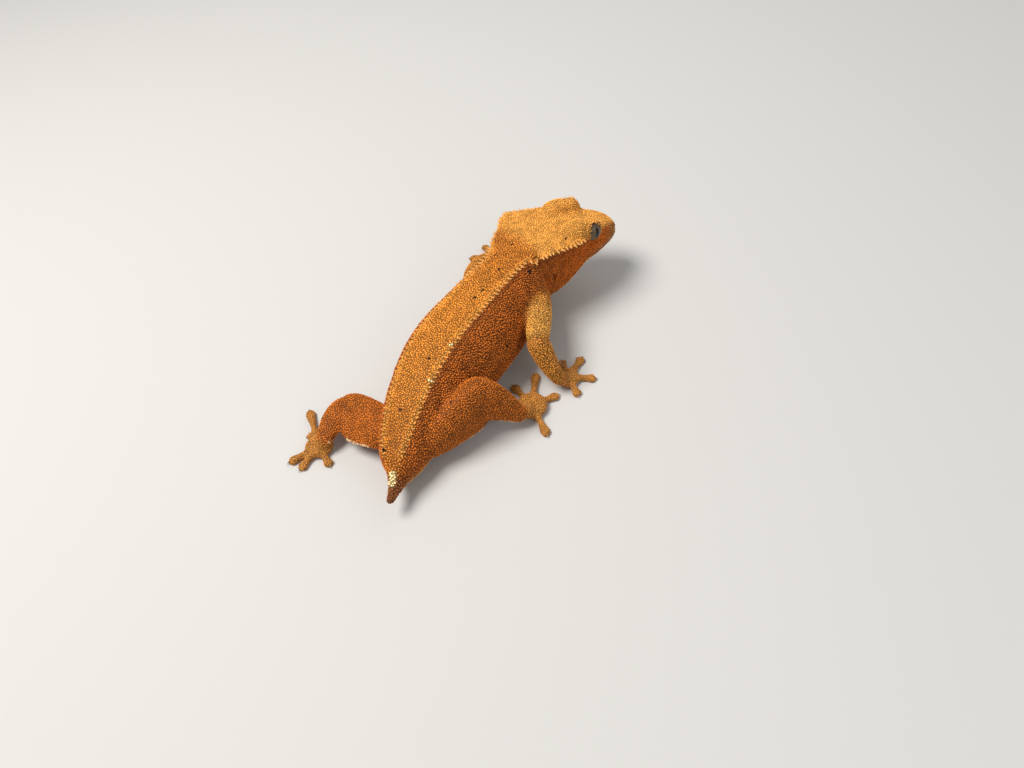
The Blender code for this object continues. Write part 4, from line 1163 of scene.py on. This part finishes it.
CLAW_LENGTH = 1.0
CLAW_RADIUS = 0.24
CLAW_SIDES = 10
CLAW_STEPS = 8
CLAW_DARK = (0.10, 0.065, 0.04)
CLAW_CLEAR = (0.62, 0.55, 0.42)
claw_finish = bpy.data.materials.new("claw_horn")
claw_finish.use_nodes = True
shader = claw_finish.node_tree.nodes["Principled BSDF"]
shader.inputs["Roughness"].default_value = 0.28
own = claw_finish.node_tree.nodes.new("ShaderNodeAttribute")
own.attribute_name = "tone"
claw_finish.node_tree.links.new(own.outputs["Color"], shader.inputs["Base Color"])
for foot in FEET:
    points, faces, tones = [], [], []
    for toe in [toe for toe in toes if toe["foot"] == foot]:
        first_point = len(points)
        for step in range(CLAW_STEPS + 1):
            share = step / CLAW_STEPS
            middle = toe["tip"] + toe["forward"] * (CLAW_LENGTH * share - 0.15)
            middle = middle + np.array((0, 0, 0.62 + 0.16 * math.sin(math.pi * share) - 0.5 * share ** 2))
            girth = CLAW_RADIUS * (1 - share) ** 0.7 + 0.015
            for k in range(CLAW_SIDES):
                angle = 2 * math.pi * k / CLAW_SIDES
                round_claw = toe["side"] * math.cos(angle) * 0.7 + np.array((0, 0, math.sin(angle)))
                points.append(middle + round_claw * girth)
                tones.append(np.array(CLAW_DARK) * (1 - share) + np.array(CLAW_CLEAR) * share)
        for step in range(CLAW_STEPS):
            for k in range(CLAW_SIDES):
                j = (k + 1) % CLAW_SIDES
                row = first_point + step * CLAW_SIDES
                faces.append((row + k, row + j, row + CLAW_SIDES + j, row + CLAW_SIDES + k))
        faces.append(tuple(first_point + k for k in range(CLAW_SIDES))[::-1])
        faces.append(tuple(first_point + CLAW_STEPS * CLAW_SIDES + k for k in range(CLAW_SIDES)))
    points = np.array(points)
    points[:, 2] = np.maximum(points[:, 2], 0.01)
    claws = as_object("claws_" + foot, points, faces)
    layer = claws.data.attributes.new("tone", "FLOAT_COLOR", "POINT")
    layer.data.foreach_set("color", np.hstack((tones, np.ones((len(tones), 1)))).astype(np.float32).ravel())
    claws.data.polygons.foreach_set("use_smooth", np.ones(len(faces), bool))
    claws.data.materials.append(claw_finish)
    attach(claws, "root")

# The studio: a plain pale floor under the feet, a soft key light from high on the left of the view, and
# weaker fill from the other sides.

FLOOR_SIZE = 3.0
FLOOR_COLOUR = (0.62, 0.61, 0.59, 1)
floor_points = [(x * FLOOR_SIZE, y * FLOOR_SIZE, 0.0) for x, y in ((-1, -1), (1, -1), (1, 1), (-1, 1))]
floor_mesh = bpy.data.meshes.new("floor")
floor_mesh.from_pydata(floor_points, [], [(0, 1, 2, 3)])
floor = bpy.data.objects.new("floor", floor_mesh)
bpy.context.scene.collection.objects.link(floor)
floor_finish = bpy.data.materials.new("floor_finish")
floor_finish.use_nodes = True
shader = floor_finish.node_tree.nodes["Principled BSDF"]
shader.inputs["Base Color"].default_value = FLOOR_COLOUR
shader.inputs["Roughness"].default_value = 0.9
floor_mesh.materials.append(floor_finish)


def add_light(name, place, aim, size, power, colour):
    data = bpy.data.lights.new(name, "AREA")
    data.shape = "DISK"
    data.size = size
    data.energy = power
    data.color = colour
    light = bpy.data.objects.new(name, data)
    bpy.context.scene.collection.objects.link(light)
    light.location = place
    light.rotation_euler = (Vector(aim) - Vector(place)).to_track_quat("-Z", "Y").to_euler()


add_light("key", (0.25, 0.15, 0.6), (0, 0, 0.01), 0.35, 4.7, (1.0, 0.97, 0.93))
add_light("fill", (-0.5, 0.2, 0.35), (0, 0, 0.01), 0.6, 0.8, (0.95, 0.97, 1.0))
add_light("front", (0.0, -0.6, 0.4), (0, 0, 0.01), 0.6, 0.9, (1.0, 1.0, 1.0))
world = bpy.data.worlds.new("studio")
bpy.context.scene.world = world
bpy.context.scene.view_settings.view_transform = "Standard"
world.use_nodes = True
world.node_tree.nodes["Background"].inputs["Color"].default_value = (0.95, 0.97, 1.0, 1)
world.node_tree.nodes["Background"].inputs["Strength"].default_value = 0.27

# The camera looks down from behind the animal's right side. It is not part of the model.
CAMERA_PLACE = (-0.0801, 0.1108, 0.1464)
CAMERA_AZIMUTH = math.radians(212.33)
CAMERA_ELEVATION = math.radians(49.25)
CAMERA_ROLL = math.radians(-7.9)
CAMERA_LENS = 26.016

toward = Vector((math.sin(CAMERA_AZIMUTH) * math.cos(CAMERA_ELEVATION),
                 -math.cos(CAMERA_AZIMUTH) * math.cos(CAMERA_ELEVATION), math.sin(CAMERA_ELEVATION)))
level = (-toward).cross(Vector((0, 0, 1))).normalized()
upright = level.cross(-toward)
right = level * math.cos(CAMERA_ROLL) + upright * math.sin(CAMERA_ROLL)
above = upright * math.cos(CAMERA_ROLL) - level * math.sin(CAMERA_ROLL)
lens = bpy.data.cameras.new("camera")
lens.lens = CAMERA_LENS
lens.sensor_width = 36.0
lens.clip_start = 0.005
camera = bpy.data.objects.new("camera", lens)
bpy.context.scene.collection.objects.link(camera)
camera.matrix_world = Matrix(((*right, 0), (*above, 0), (*toward, 0), (*CAMERA_PLACE, 1))).transposed()
bpy.context.scene.camera = camera
